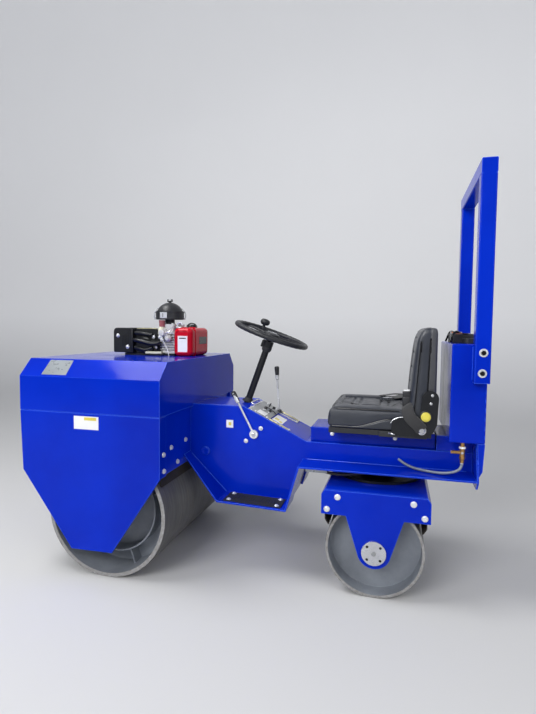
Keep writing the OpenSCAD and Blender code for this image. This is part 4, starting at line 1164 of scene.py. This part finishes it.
def add_back():
    """The backrest's pad with its shell, piping and stitches."""
    bm = bmesh.new()
    slim = 0.006
    half = BACK_HI.y - slim
    z0, z1 = BACK_LO.z + 0.003, BACK_HI.z - slim
    x0 = BACK_LO.x + 0.0035
    outline = [(x0, z0), (BACK_HI.x - 0.012, z0), (BACK_HI.x - 0.009, z0 + 0.10),
        (BACK_HI.x - 0.034, z1 - 0.05), (BACK_HI.x - 0.052, z1 - 0.012), (BACK_HI.x - 0.070, z1),
        (x0 + 0.006, z1), (x0, z1 - 0.012)]
    prism(bm, outline, (-half, half), "XZ", 0.011)
    for v in bm.verts:
        # The sides draw in towards the top
        t = max(0.0, (v.co.z - z0 - 0.25) / (z1 - z0 - 0.25))
        v.co.y *= 1 - 0.045 * t * t
    pad = skin(bm, "seat_back_pad", 0.006, 8)

    def hold(co, n):
        w = 1.0 if n.x < -0.6 else 0.0
        if n.x > 0.5:
            w = max(w, near(back_seams(co), 0.006))
        if abs(n.x) < 0.8:
            w = max(w, near(co.x - shell_line(co.z), 0.007), 0.6 * near(co.x - back_front(co.z) + 0.022,
                0.006))
        if co.x < shell_line(co.z):
            w = 1.0
        return w

    inflate(pad, hold, 0.010)
    finer(pad)

    def depth(co, n):
        d = 0.0
        if n.x > 0.3:
            d = 0.0055 * near(back_seams(co), 0.0042)
        if abs(n.x) < 0.85:
            d = max(d, 0.0024 * near(co.x - shell_line(co.z), 0.0035))
        return d

    carve(pad, depth)
    tree = tree_of(pad)
    cord, thread = bmesh.new(), bmesh.new()
    hy, mid_z = BACK_HI.y, (BACK_LO.z + BACK_HI.z) / 2

    def hoop(x_at, lift):
        """Up one side, over the top and down the other."""
        rays = []
        for k in range(121):
            a = math.radians(-42 + 264 * k / 120)
            c, s = math.cos(a), math.sin(a)
            r = 1 / max(abs(c), abs(s))
            y, z = c * r * (hy + 0.06), mid_z + s * r * (BACK_HI.z - mid_z + 0.06)
            z_in = max(BACK_LO.z + 0.02, min(BACK_HI.z - 0.03, z))
            way = (0, -c, 0) if abs(c) >= abs(s) else (0, -0.25 * c, -s)
            rays.append(((x_at(z_in), y, z), way))
        return relaxed(laid_on(tree, rays, lift), False)

    for x_at, radius, beside in ((shell_line, 0.0030, 0.0065),
            (lambda z: back_front(z) - 0.023, 0.0024, -0.006)):
        line = hoop(x_at, 0.0012)
        tube(cord, even(line, 0.006), radius, 8)
        stitches(thread, [p + Vector((beside, 0, 0)) for p in line])
    settle(cord, "seat_back_piping", "gloss_black")
    for y in SEAM_ROWS:
        rays = [((BACK_HI.x + 0.05, y, BACK_LO.z + 0.04 + k * 0.01), (-1, 0, 0)) for k in range(34)]
        stitches(thread, laid_on(tree, rays, 0.0004))
    settle(thread, "seat_back_stitches", "seam_thread")
    pad.data.shade_smooth()
    finish(pad, "seat_vinyl")
    pad.data.materials.append(FINISHES["seat_shell"][1])
    for p in pad.data.polygons:
        if p.center.x < shell_line(p.center.z) - 0.001:
            p.material_index = 1
    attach(pad, "chassis")
    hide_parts("seat_back")


add_cushion()
add_back()


def strap(bm, path, width, thick, across):
    """Flat webbing along a path; across is the direction of its width."""
    pts = [Vector(p) for p in path]
    n = len(pts)
    rings = []
    for i, p in enumerate(pts):
        d = (pts[min(i + 1, n - 1)] - pts[max(i - 1, 0)]).normalized()
        a = Vector(across)
        a = (a - d * a.dot(d)).normalized()
        up = d.cross(a)
        edge = [(-0.5, -0.5), (-0.42, -0.62), (0, -0.66), (0.42, -0.62), (0.5, -0.5), (0.5, 0.5),
            (0.42, 0.62), (0, 0.66), (-0.42, 0.62), (-0.5, 0.5)]
        rings.append([bm.verts.new(p + a * (u * width) + up * (v * thick)) for u, v in edge])
    for a, b in zip(rings, rings[1:]):
        for k in range(10):
            m = (k + 1) % 10
            bm.faces.new((a[k], a[m], b[m], b[k]))
    bm.faces.new(list(reversed(rings[0])))
    bm.faces.new(rings[-1])


def add_seat_hardware():
    """Brackets' screws, recliner, belt with its buckle, and the slide release."""
    x0, _, z0 = low("seat_brackets")
    _, y, top = high("seat_brackets")
    silver, black, yellow, web, soft = (bmesh.new() for _ in range(5))
    for s in (1, -1):
        side = s * y
        for x, z in ((x0 + 0.027, top - 0.020), (x0 + 0.032, top - 0.055)):
            lathe(silver, (x, side, z), (0, s, 0), [(6, 0), (5.8, 1.2), (3, 2.2), (0, 2.4)], 16)
        # Recliner pivot: black ring with a yellow cap
        hub = (x0 + 0.052, side, z0 + 0.093)
        lathe(black, hub, (0, s, 0), [(26, 0), (26, 4), (23.5, 6.2), (21, 6.2), (21, 0)], 40)
        lathe(yellow, hub, (0, s, 0), [(20.5, 3), (20.5, 7.5), (19, 10.5), (15, 12), (14.2, 10.2),
            (12.2, 10.4), (11.5, 12.6), (6, 13.4), (0, 13.6)], 40)
        # Chrome edge of the foot
        foot = x0 + 0.194
        edge = ((0.003, 0.058), (-0.008, 0.073), (-0.030, 0.084), (-0.062, 0.089))
        pipe(silver, [(foot + x, side + s * 0.001, z0 + z) for x, z in edge], 0.0017, 8)
        # Anchor bolt of the belt with its lever
        anchor = Vector((x0 + 0.067, side, z0 + 0.033))
        lathe(silver, anchor, (0, s, 0), [(18.5, 0), (19, 2), (18.5, 5), (12, 6.5), (12, 14), (10, 16.5),
            (0, 17)], 28)
        pipe(silver, [anchor + Vector((0.004, s * 0.006, 0.004)),
            anchor + Vector((-0.002, s * 0.009, 0.014)), anchor + Vector((-0.010, s * 0.010, 0.029))],
            0.0048, per=5)
        pipe(silver, [anchor + Vector((0.004, s * 0.006, 0)), anchor + Vector((0.016, s * 0.010, 0.002)),
            anchor + Vector((0.028, s * 0.011, 0.001))], [0.0050] * 6 + [0.0042] * 5, per=5)
        # Slide release at the front of the foot
        pipe(silver, [(foot + 0.010, side - s * 0.006, z0 + 0.012),
            (foot - 0.002, side + s * 0.004, z0 + 0.013), (foot - 0.016, side + s * 0.005, z0 + 0.010)],
            0.0034, 8, per=5)
    # Buckle on its sleeve, on the near side
    a = Vector((x0 + 0.067, y + 0.006, z0 + 0.036))
    top_z = SEAT_HI.z
    path = smooth_path([a, a + Vector((0.018, 0.004, 0.022)),
        Vector((x0 + 0.118, y + 0.004, top_z - 0.030)), Vector((x0 + 0.128, y - 0.016, top_z + 0.002)),
        Vector((x0 + 0.127, y - 0.044, top_z + 0.014))], 6)
    strap(soft, path, 0.050, 0.012, (0.8, 0.0, -0.6))
    settle(soft, "belt_sleeve", "webbing", sharp=60)
    turn = Matrix.Translation((x0 + 0.127, y - 0.046, top_z + 0.004)) @ Matrix.Rotation(math.radians(4), 4,
        "Y")
    brick(black, (-0.021, -0.011, 0), (0.021, 0.011, 0.048), 0.006, 3, turn)
    brick(black, (-0.018, -0.010, 0.044), (0.018, 0.010, 0.072), 0.005, 3, turn)
    settle(black, "seat_black_fittings", "black_plastic")
    button = bmesh.new()
    brick(button, (-0.014, -0.007, 0.068), (0.014, 0.007, 0.077), 0.003, 3, turn)
    settle(button, "belt_button", "white_foil")
    # Belt on the far side, with its tongue laid on the cushion
    b = smooth_path([(x0 + 0.075, -y - 0.004, z0 + 0.050), (x0 + 0.100, -y - 0.006, z0 + 0.095),
        (x0 + 0.120, -y + 0.010, top_z + 0.004), (x0 + 0.135, -y + 0.050, top_z + 0.006),
        (x0 + 0.160, -y + 0.100, top_z + 0.003), (x0 + 0.195, -y + 0.130, top_z + 0.001)], 7)
    strap(web, b, 0.046, 0.0022, (0.9, 0.3, 0.0))
    c = smooth_path([(x0 + 0.140, -y + 0.030, top_z + 0.008), (x0 + 0.185, -y + 0.045, top_z + 0.009),
        (x0 + 0.225, -y + 0.060, top_z + 0.005), (x0 + 0.250, -y + 0.080, top_z + 0.002)], 7)
    strap(web, c, 0.046, 0.0022, (0.2, 0.95, 0.0))
    settle(web, "belt_webbing", "webbing", sharp=60)
    spot = Matrix.Translation((x0 + 0.206, -y + 0.136, top_z + 0.002)) @ Matrix.Rotation(math.radians(35),
        4, "Z")
    brick(silver, (-0.004, -0.022, -0.0012), (0.010, 0.022, 0.0014), 0.0008, 2, spot)
    brick(silver, (0.008, -0.012, -0.0010), (0.036, 0.012, 0.0010), 0.0008, 2, spot)
    settle(silver, "seat_bright_fittings", "zinc", sharp=35)
    settle(yellow, "recliner_caps", "yellow_plastic")


add_seat_hardware()


# ------------------------------------------------------------------ controls

SLOPE_TOP = Vector((low("bonnet").x - 0.268, 0, high("console_top").z))
SLOPE_END = Vector((high("deck").x, 0, high("deck").z))
SLOPE_WAY = (SLOPE_END - SLOPE_TOP).normalized()
SLOPE_UP = SLOPE_WAY.cross(Vector((0, -1, 0))).normalized()
if SLOPE_UP.z < 0:
    SLOPE_UP = -SLOPE_UP
SLOPE = Matrix((SLOPE_WAY, SLOPE_UP.cross(SLOPE_WAY), SLOPE_UP)).transposed().to_4x4()
SLOPE.translation = SLOPE_TOP


def add_dash():
    """Switch plate, edge strips, blank labels and the hatch in front of them, on the console's slope."""
    grey, strip, silver, black, label, patch, blue = (bmesh.new() for _ in range(7))
    y_side = 1 if (SLOPE @ Vector((0, 1, 0)) - SLOPE.translation).y > 0 else -1
    half = high("dash_panel").y
    t = 0.003

    def on(bm, s0, s1, y0, y1, h0, h1, bevel=0.0006, segments=2):
        """A block between two stops down the slope, two places across it and two heights above it."""
        ys = sorted((y_side * y0, y_side * y1))
        brick(bm, (s0, ys[0], h0), (s1, ys[1], h1), bevel, segments, SLOPE)

    def at(s, y, h=0.0):
        """The point s down the slope, y across it and h above it."""
        return SLOPE @ Vector((s, y_side * y, h))

    on(grey, 0.0335, 0.142, -half + 0.001, half - 0.001, t, t + 0.0018)
    # Folded edge strips with their end screws
    for s in (1, -1):
        inner, outer = s * (half - 0.0135), s * (half - 0.001)
        on(strip, 0.142, 0.250, inner, outer, t, t + 0.0030, 0.0012)
        on(strip, 0.142, 0.250, inner, inner + s * 0.0016, -0.0005, t + 0.0030, 0.0005)
    for s, y in ((0.062, half - 0.008), (0.118, -half + 0.009), (0.250, half - 0.007),
            (0.250, -half + 0.007), (0.062, -half + 0.009), (0.128, half - 0.008)):
        dome_bolt(silver, at(s, y, t + 0.0018), SLOPE_UP, 0.0065)
    # Labels
    on(label, 0.067, 0.114, 0.056, half - 0.010, t + 0.0017, t + 0.0024, 0.0003, 1)
    on(label, 0.148, 0.204, -0.034, 0.090, 0.0, 0.0010, 0.0003, 1)
    on(patch, 0.154, 0.176, 0.030, 0.064, 0.0009, 0.0014, 0.0002, 1)
    on(patch, 0.182, 0.197, 0.052, 0.078, 0.0009, 0.0014, 0.0002, 1)
    # Key switch and knobs
    h = t + 0.0018
    lathe(silver, at(0.090, -0.025, h), SLOPE_UP, [(13.5, 0), (15, 0.5), (15, 4), (13, 6), (10.5, 6),
        (10, 3.5), (0, 3.4)], 32)
    lathe(black, at(0.090, -0.025, h + 0.0030), SLOPE_UP, [(9, 0), (9, 4), (6, 5), (0, 5)], 24)
    key = SLOPE @ Matrix.Translation((0.090, y_side * -0.025, h + 0.006))
    brick(silver, (-0.0012, -0.0040, 0), (0.0012, 0.0040, 0.0100), 0.0004, 1, key)
    brick(black, (-0.0030, -0.0110, 0.0085), (0.0030, 0.0110, 0.0270), 0.0022, 3, key)
    for s, y, r, tall in ((0.083, 0.010, 0.0085, 0.012), (0.108, -0.068, 0.0075, 0.010),
            (0.110, 0.022, 0.0060, 0.016)):
        collar = [(r * 1.25, 0), (r * 1.3, 0.0006), (r * 1.2, 0.0022), (r, 0.0026), (0, 0.0026)]
        knob = [(r * 0.8, 0), (r, 0.002), (r, tall), (r * 0.85, tall + 0.002), (0, tall + 0.0028)]
        lathe(silver, at(s, y, h), SLOPE_UP, collar, unit=1)
        lathe(black, at(s, y, h + 0.0024), SLOPE_UP, knob, unit=1)
    pipe(black, [at(0.112, 0.022, h + 0.006), at(0.126, 0.018, h + 0.014), at(0.138, 0.004, h + 0.006),
        at(0.141, -0.010, h)], 0.0022, 8)
    # Hatch at the head of the slope: a blue lid in a pale frame
    on(blue, 0.004, 0.0300, -0.100, 0.032, 0.0002, 0.0060, 0.0025, 3)
    rim = [at(s, y, 0.0052) for s, y in ((0.006, 0.029), (0.004, -0.030), (0.006, -0.097), (0.028, -0.098),
        (0.0295, -0.030), (0.028, 0.030))]
    tube(silver, even(relaxed(even(rim, 0.004, True), True, 2), 0.004, True)[:-1], 0.0033, 8, True)
    # Boot of the drive lever where it leaves its slot
    lathe(black, at(0.139, -0.096, 0.0030), SLOPE_UP, [(15, 0), (15, 1.5), (12, 3), (8.5, 11), (6.2, 13.5),
        (0, 13.5)], 24)
    settle(grey, "switch_plate", "grey_panel")
    settle(strip, "slope_strips", "yellow_zinc")
    settle(silver, "dash_bright", "white_zinc", sharp=35)
    settle(black, "dash_switches", "black_plastic")
    settle(label, "dash_labels", "white_foil")
    settle(patch, "dash_patches", "yellow_foil")
    settle(blue, "slope_hatch", "body_paint")


add_dash()


def add_levers():
    """Grips of the two levers, and the hub of the side lever."""
    grip, silver = bmesh.new(), bmesh.new()
    # Side lever: its grip, its hub washer and the pin at the pivot
    spine = low("side_lever").y
    pivot = Vector((SLOPE_TOP.x - 0.057, spine + 0.008, SLOPE_END.z + 0.020))
    end = Vector((SLOPE_TOP.x + 0.049, spine + 0.008, SLOPE_TOP.z + 0.063))
    way = (end - pivot).normalized()
    lathe(grip, end - way * 0.052, way, [(5.8, 0), (9.5, 1), (11.2, 6), (11.2, 20), (10.4, 24), (11.6, 28),
        (12.2, 48), (10.8, 58), (6, 62), (0, 62.6)], 24)
    face = spine + 0.014
    lathe(silver, (pivot.x, face, pivot.z), (0, 1, 0), [(15, 0), (15, 1.4), (10, 2), (9.8, 7.5), (8, 9),
        (0, 9.2)], 6, 0.2)
    lathe(silver, (pivot.x, spine, pivot.z), (0, 1, 0), [(20.5, 0.5), (21.8, 2), (21.8, 12), (20.5, 14.2),
        (15, 14.4), (15, 1)], 40)
    # Drive lever: cone grip that widens upwards
    base = SLOPE_TOP + Vector((-0.113, -0.096, 0.116))
    way = Vector((0.004, 0, 0.062)).normalized()
    lathe(grip, base - way * 0.003, way, [(6.2, 0), (8, 1), (9, 10), (10.8, 34), (12.4, 58), (12.4, 64),
        (10.8, 68.5), (5, 70.5), (0, 70.7)], 24)
    settle(grip, "lever_grips", "black_plastic")
    settle(silver, "lever_hub", "zinc", sharp=30)


add_levers()


def add_steering():
    """Wheel with finger grips, its hub cover and boot, and the fittings at the column's head."""
    tilt = math.radians(19.5)
    foot = Vector((SLOPE_TOP.x + 0.021, 0, SLOPE_TOP.z))
    up = Vector((-math.sin(tilt), 0, math.cos(tilt)))
    hub = foot + up * 0.372
    across = Vector((0, 1, 0))
    wheel = Matrix((across.cross(up), across, up)).transposed().to_4x4()
    wheel.translation = hub
    rim_r, rim, waves = 0.1825, 0.0125, 36
    bm = bmesh.new()
    n = 216
    turns = [2 * math.pi * k / n for k in range(n)]
    pts = [wheel @ Vector((rim_r * math.cos(a), rim_r * math.sin(a), 0)) for a in turns]
    tube(bm, pts, [rim * (1.0 + 0.035 * math.cos(waves * a)) for a in turns], 20, True)
    for a in (90, 210, 330):
        turn = wheel @ Matrix.Rotation(math.radians(a), 4, "Z")
        edge = [(0.030, 0.019), (0.060, 0.0150), (0.120, 0.0120), (0.172, 0.0155), (0.178, 0.019)]
        prism(bm, [(r, -w) for r, w in edge] + edge[::-1], (-0.0085, 0.0005), "XY", 0.0030, turn)
        # Raised rib along each spoke
        brick(bm, (0.038, -0.0040, -0.0005), (0.165, 0.0040, 0.0030), 0.0018, 2, turn)
    lathe(bm, wheel @ Vector((0, 0, -0.0300)), up, [(9.8, 0), (38, 0), (42, 1.5), (50, 6), (60, 13),
        (67, 19), (68.5, 21.5), (67, 24), (43, 26), (42, 34), (40.5, 37.5), (30, 40), (12, 41.2),
        (0, 41.3)], 48)
    settle(bm, "wheel_rim", "black_plastic", "steering_wheel", ("steering_wheel",), 50)
    # Spinner knob and the clamp that holds it
    knob, screws = bmesh.new(), bmesh.new()
    a = math.radians(301)
    at = wheel @ Vector((rim_r * math.cos(a), rim_r * math.sin(a), 0))
    lathe(knob, at, up, [(7.5, 8), (7.5, 19), (12, 20.5), (19.5, 23), (24.5, 29), (26, 35), (25.8, 41),
        (23.5, 47), (18, 51.5), (10, 53.5), (0, 54)], 40)
    clamp = Matrix.Translation(at) @ wheel.to_3x3().to_4x4() @ Matrix.Rotation(a, 4, "Z")
    brick(knob, (-0.0160, -0.0110, -0.0150), (0.0160, 0.0110, 0.0140), 0.0045, 3, clamp)
    for s in (1, -1):
        lathe(screws, clamp @ Vector((0.0095 * s, 0, -0.0150)), -up, [(3.5, 0), (3.5, 2.2), (2, 2.8),
            (0, 2.6)], 16)
    lathe(screws, wheel @ Vector((0, 0, 0.0112)), up, [(26, 0), (26.2, 1.2), (24, 2), (22.5, 1.4),
        (22.5, 0)], 40)
    settle(knob, "wheel_knob", "black_plastic", "steering_wheel", sharp=40)
    settle(screws, "wheel_trim", "zinc", "steering_wheel", sharp=35)
    # Column: two pressed collars, the cast lug at its head and its foot plate
    black, cast = bmesh.new(), bmesh.new()
    lathe(black, foot + up * 0.004, up, [(17, 0), (30, 1), (30.5, 4), (23.5, 7.5), (20, 20), (17, 22.5)],
        36)
    lathe(black, foot + up * 0.282, up, [(17, 0), (21.5, 2), (24.5, 10), (25.5, 20), (25.5, 23), (17, 24)],
        36)
    lug = foot + up * 0.298 + Vector((math.cos(tilt), 0, math.sin(tilt))) * 0.026
    lathe(cast, lug, up, [(8.5, 0), (10, 1.5), (10, 32), (8.5, 34.5), (4, 35), (0, 35)], 24)
    brick(cast, (-0.014, -0.006, 0.004), (0, 0.006, 0.030), 0.002, 2, frame_at(lug, up))
    hex_bolt(cast, lug + up * 0.034, up, 0.006, False)
    settle(black, "column_collars", "rubber")
    settle(cast, "column_lug", "dark_metal", sharp=35)


add_steering()


# ------------------------------------------------------------------ water tank, battery and hoses

def add_tail():
    """Battery fittings, drain tap, and the plates at the rear of the roll bar."""
    top = high("water_tank").z
    lo, hi = low("battery"), high("battery")
    black, copper, silver, brass, white = (bmesh.new() for _ in range(5))
    # Battery: caps, terminals, clamp bar with its hooks
    x0, x1 = lo.x, hi.x
    y_mid = (lo.y + hi.y) / 2
    lid = hi.z
    caps, margin = 6, 0.030
    for k in range(caps):
        y = lo.y + margin + k * (hi.y - lo.y - 2 * margin) / (caps - 1)
        lathe(black, ((x0 + x1) / 2, y, lid), UP, [(9.5, 0), (10, 1), (9.5, 4), (6, 4.8), (0, 4.8)], 20)
    for s in (1, -1):
        y = y_mid + s * (hi.y - lo.y) * 0.38
        lathe(copper, (x1 - 0.020, y, lid), UP, [(10, 0), (9.5, 8), (8.5, 9), (0, 9)], 20)
        brick(copper, (x1 - 0.036, y - 0.011, lid + 0.001), (x1 - 0.006, y + 0.011, lid + 0.0065), 0.002)
        hex_bolt(silver, (x1 - 0.032, y, lid + 0.006), UP, 0.005, False)
    brick(silver, (x0 + 0.004, y_mid - 0.012, lid), (x1 - 0.004, y_mid + 0.012, lid + 0.003), 0.001)
    for x in (x0 - 0.001, x1 + 0.001):
        tube(silver, [(x, y_mid, top), (x, y_mid, lid + 0.014)], 0.0028, 8)
        hex_bolt(silver, (x, y_mid, lid + 0.003), UP, 0.005)
    pipe(black, [(x1 - 0.030, y_mid + 0.097, lid + 0.004), (x1 - 0.010, y_mid + 0.112, lid + 0.010),
        (x1 + 0.006, y_mid + 0.120, lid - 0.004), (x1 + 0.008, y_mid + 0.122, top + 0.016),
        (x1 + 0.012, y_mid + 0.118, top + 0.004)], 0.0050)
    pipe(black, [(x1 - 0.030, y_mid - 0.097, lid + 0.004), (x1 - 0.008, y_mid - 0.112, lid + 0.009),
        (x1 + 0.008, y_mid - 0.116, top + 0.012), (x1 + 0.010, y_mid - 0.118, top + 0.004)], 0.0046)
    # Drain tap: union nuts, body, lever and clip
    tap_lo = low("drain_tap")
    x, y = tap_lo.x + 0.010, middle("drain_tap").y
    lathe(brass, (x, y, tap_lo.z - 0.001), UP, [(7.4, 0), (8.4, 1), (8.4, 4), (7.4, 5), (8.4, 7.5),
        (8.4, 10.5), (7.4, 11.5), (11, 16.5), (11.8, 18), (11.8, 26), (10.4, 27.5), (10.4, 44),
        (11.8, 45.5), (11.8, 54), (10.2, 56), (9.5, 60), (7.4, 60.5)], 6)
    lathe(white, (x, y, tap_lo.z + 0.0600), UP, [(9.3, 0), (13.5, 1), (14, 4), (13, 8), (9.3, 9)], 28)
    z_handle = tap_lo.z + 0.0430
    tube(brass, [(x + 0.004, y, z_handle), (x + 0.018, y, z_handle)], 0.0060, 12)
    brick(brass, (x + 0.016, y - 0.0035, z_handle - 0.0070), (x + 0.046, y + 0.0035, z_handle + 0.0060),
        0.0028, 3)
    hex_bolt(silver, (x + 0.001, y + 0.0104, z_handle), (0, 1, 0), 0.0050, True)
    lathe(silver, (x + 0.0005, y + 0.0005, tap_lo.z - 0.006), (-0.05, -0.08, 1), [(6.2, 0), (7.2, 0.5),
        (7.2, 6), (6.2, 6.5)], 24)
    # A small plate at the rear of each post
    bar_x, post_y = low("roll_bar").x, high("roll_bar").y - 0.046
    for y in (post_y, -post_y):
        brick(silver, (bar_x - 0.0004, y - 0.010, 1.046), (bar_x + 0.001, y + 0.010, 1.106), 0.0006, 1)
    settle(black, "battery_black", "gloss_black")
    settle(copper, "battery_leads", "copper")
    settle(silver, "tail_bright", "zinc", sharp=35)
    settle(brass, "tap_brass", "brass", sharp=30)
    settle(white, "tap_ring", "white_foil")


add_tail()


def add_under():
    """Fittings of the hose under the board, of the cylinder and of the king pin."""
    steel, black, light = bmesh.new(), bmesh.new(), bmesh.new()
    lo, hi = low("deck_hose"), high("deck_hose")
    y = lo.y + 0.007
    for x, s in ((hi.x, -1), (lo.x, 1)):
        lathe(steel, (x - s * 0.002, y, hi.z - 0.007), (s, 0, -0.28), [(7.5, 0), (9.8, 1), (9.8, 20),
            (8.8, 22), (8.8, 34), (7.4, 36)], 18)
    barrel_lo, barrel_hi = low("steer_barrel"), high("steer_barrel")
    yb, zb = middle("steer_rod").y, barrel_lo.z + 0.020
    for x in (barrel_lo.x, barrel_hi.x - 0.010):
        lathe(black, (x, yb, zb), (1, 0, 0), [(20, 0), (21.2, 1), (21.2, 9), (20, 10)], 32)
    for x in (barrel_lo.x + 0.024, barrel_hi.x - 0.030):
        lathe(steel, (x, yb + 0.0190, zb), (0, 1, 0.1), [(8, 0), (8, 6), (6, 8), (6, 14), (0, 14.5)], 6)
    shelf = high("deck_hose").z
    brick(light, (-0.386, 0.246, shelf - 0.022), (-0.288, 0.249, shelf + 0.0005), 0.0008, 1)
    brick(light, (-0.386, 0.220, shelf - 0.0020), (-0.288, 0.249, shelf + 0.0005), 0.0006, 1)
    settle(steel, "hose_fittings", "zinc", sharp=30)
    settle(black, "barrel_bands", "dark_metal")
    settle(light, "underboard_plate", "grey_foil")


add_under()


# ------------------------------------------------------------------ floor and light

def add_stage():
    """Pale floor that bends up into a backdrop."""
    mesh = bpy.data.meshes.new("floor")
    size, back, bend, top = 45.0, -4.5, 2.6, 18.0
    line = [(size, 0.0), (back, 0.0)]
    for degrees in range(9, 91, 9):
        a = math.radians(degrees)
        line.append((back - bend * math.sin(a), bend - bend * math.cos(a)))
    line += [(back - bend, top)]
    verts = [(x, y, z) for y, z in line for x in (-size, size)]
    mesh.from_pydata(verts, [], [(2 * i, 2 * i + 1, 2 * i + 3, 2 * i + 2) for i in range(len(line) - 1)])
    mesh.shade_smooth()
    floor = bpy.data.objects.new("floor", mesh)
    bpy.context.scene.collection.objects.link(floor)
    s = Shader("floor_paint", (0.66, 0.66, 0.67), 0.7)
    rise = s.ramp(s.math("MULTIPLY", s.axis("Z"), 0.2), [(0.0, 0.66), (1.0, 0.93)])
    s.put("Base Color", s.mix(s.ramp(s.noise(1.2, 4), [(0.3, 0.0), (0.7, 0.06)]), rise, (0.6, 0.6, 0.6)))
    # The backdrop's paleness is for the eye alone: it throws no light on the machine
    path = s.node("LightPath").outputs
    seen = s.math("MAXIMUM", s.math("MAXIMUM", path["Is Camera Ray"], path["Is Glossy Ray"]),
        path["Is Transmission Ray"])
    rise = s.math("ADD", s.math("MULTIPLY", s.axis("Z"), 0.30), s.math("MULTIPLY", s.axis("Y"), -0.085))
    glow = s.ramp(rise, [(0.12, 0.0), (1.0, 0.26)])
    s.put("Emission Color", (0.94, 0.95, 1.0))
    s.put("Emission Strength", s.math("MULTIPLY", seen, glow))
    mesh.materials.append(s.mat)


def add_area(name, place, aim, size, power):
    """Rectangular lamp at a place, turned towards its aim."""
    data = bpy.data.lights.new(name, "AREA")
    data.shape = "RECTANGLE"
    data.size, data.size_y = size
    data.energy = power
    lamp = bpy.data.objects.new(name, data)
    lamp.matrix_world = frame_at(place, Vector(place) - Vector(aim))
    bpy.context.scene.collection.objects.link(lamp)


def add_light():
    world = bpy.data.worlds.new("studio")
    bpy.context.scene.world = world
    world.use_nodes = True
    back = world.node_tree.nodes["Background"]
    back.inputs["Color"].default_value = (0.90, 0.93, 1.0, 1)
    back.inputs["Strength"].default_value = 0.32
    add_area("key", (1.6, 5.4, 3.6), (0, 0, 0.6), (3.2, 2.2), 215)
    add_area("top", (1.9, 0.9, 4.6), (0.3, 0, 0.6), (2.2, 1.4), 110)
    add_area("fill", (-3.6, 3.4, 3.0), (-0.4, 0, 0.7), (2.4, 2.0), 50)


add_stage()
add_light()
bpy.context.scene.view_settings.view_transform = "Standard"
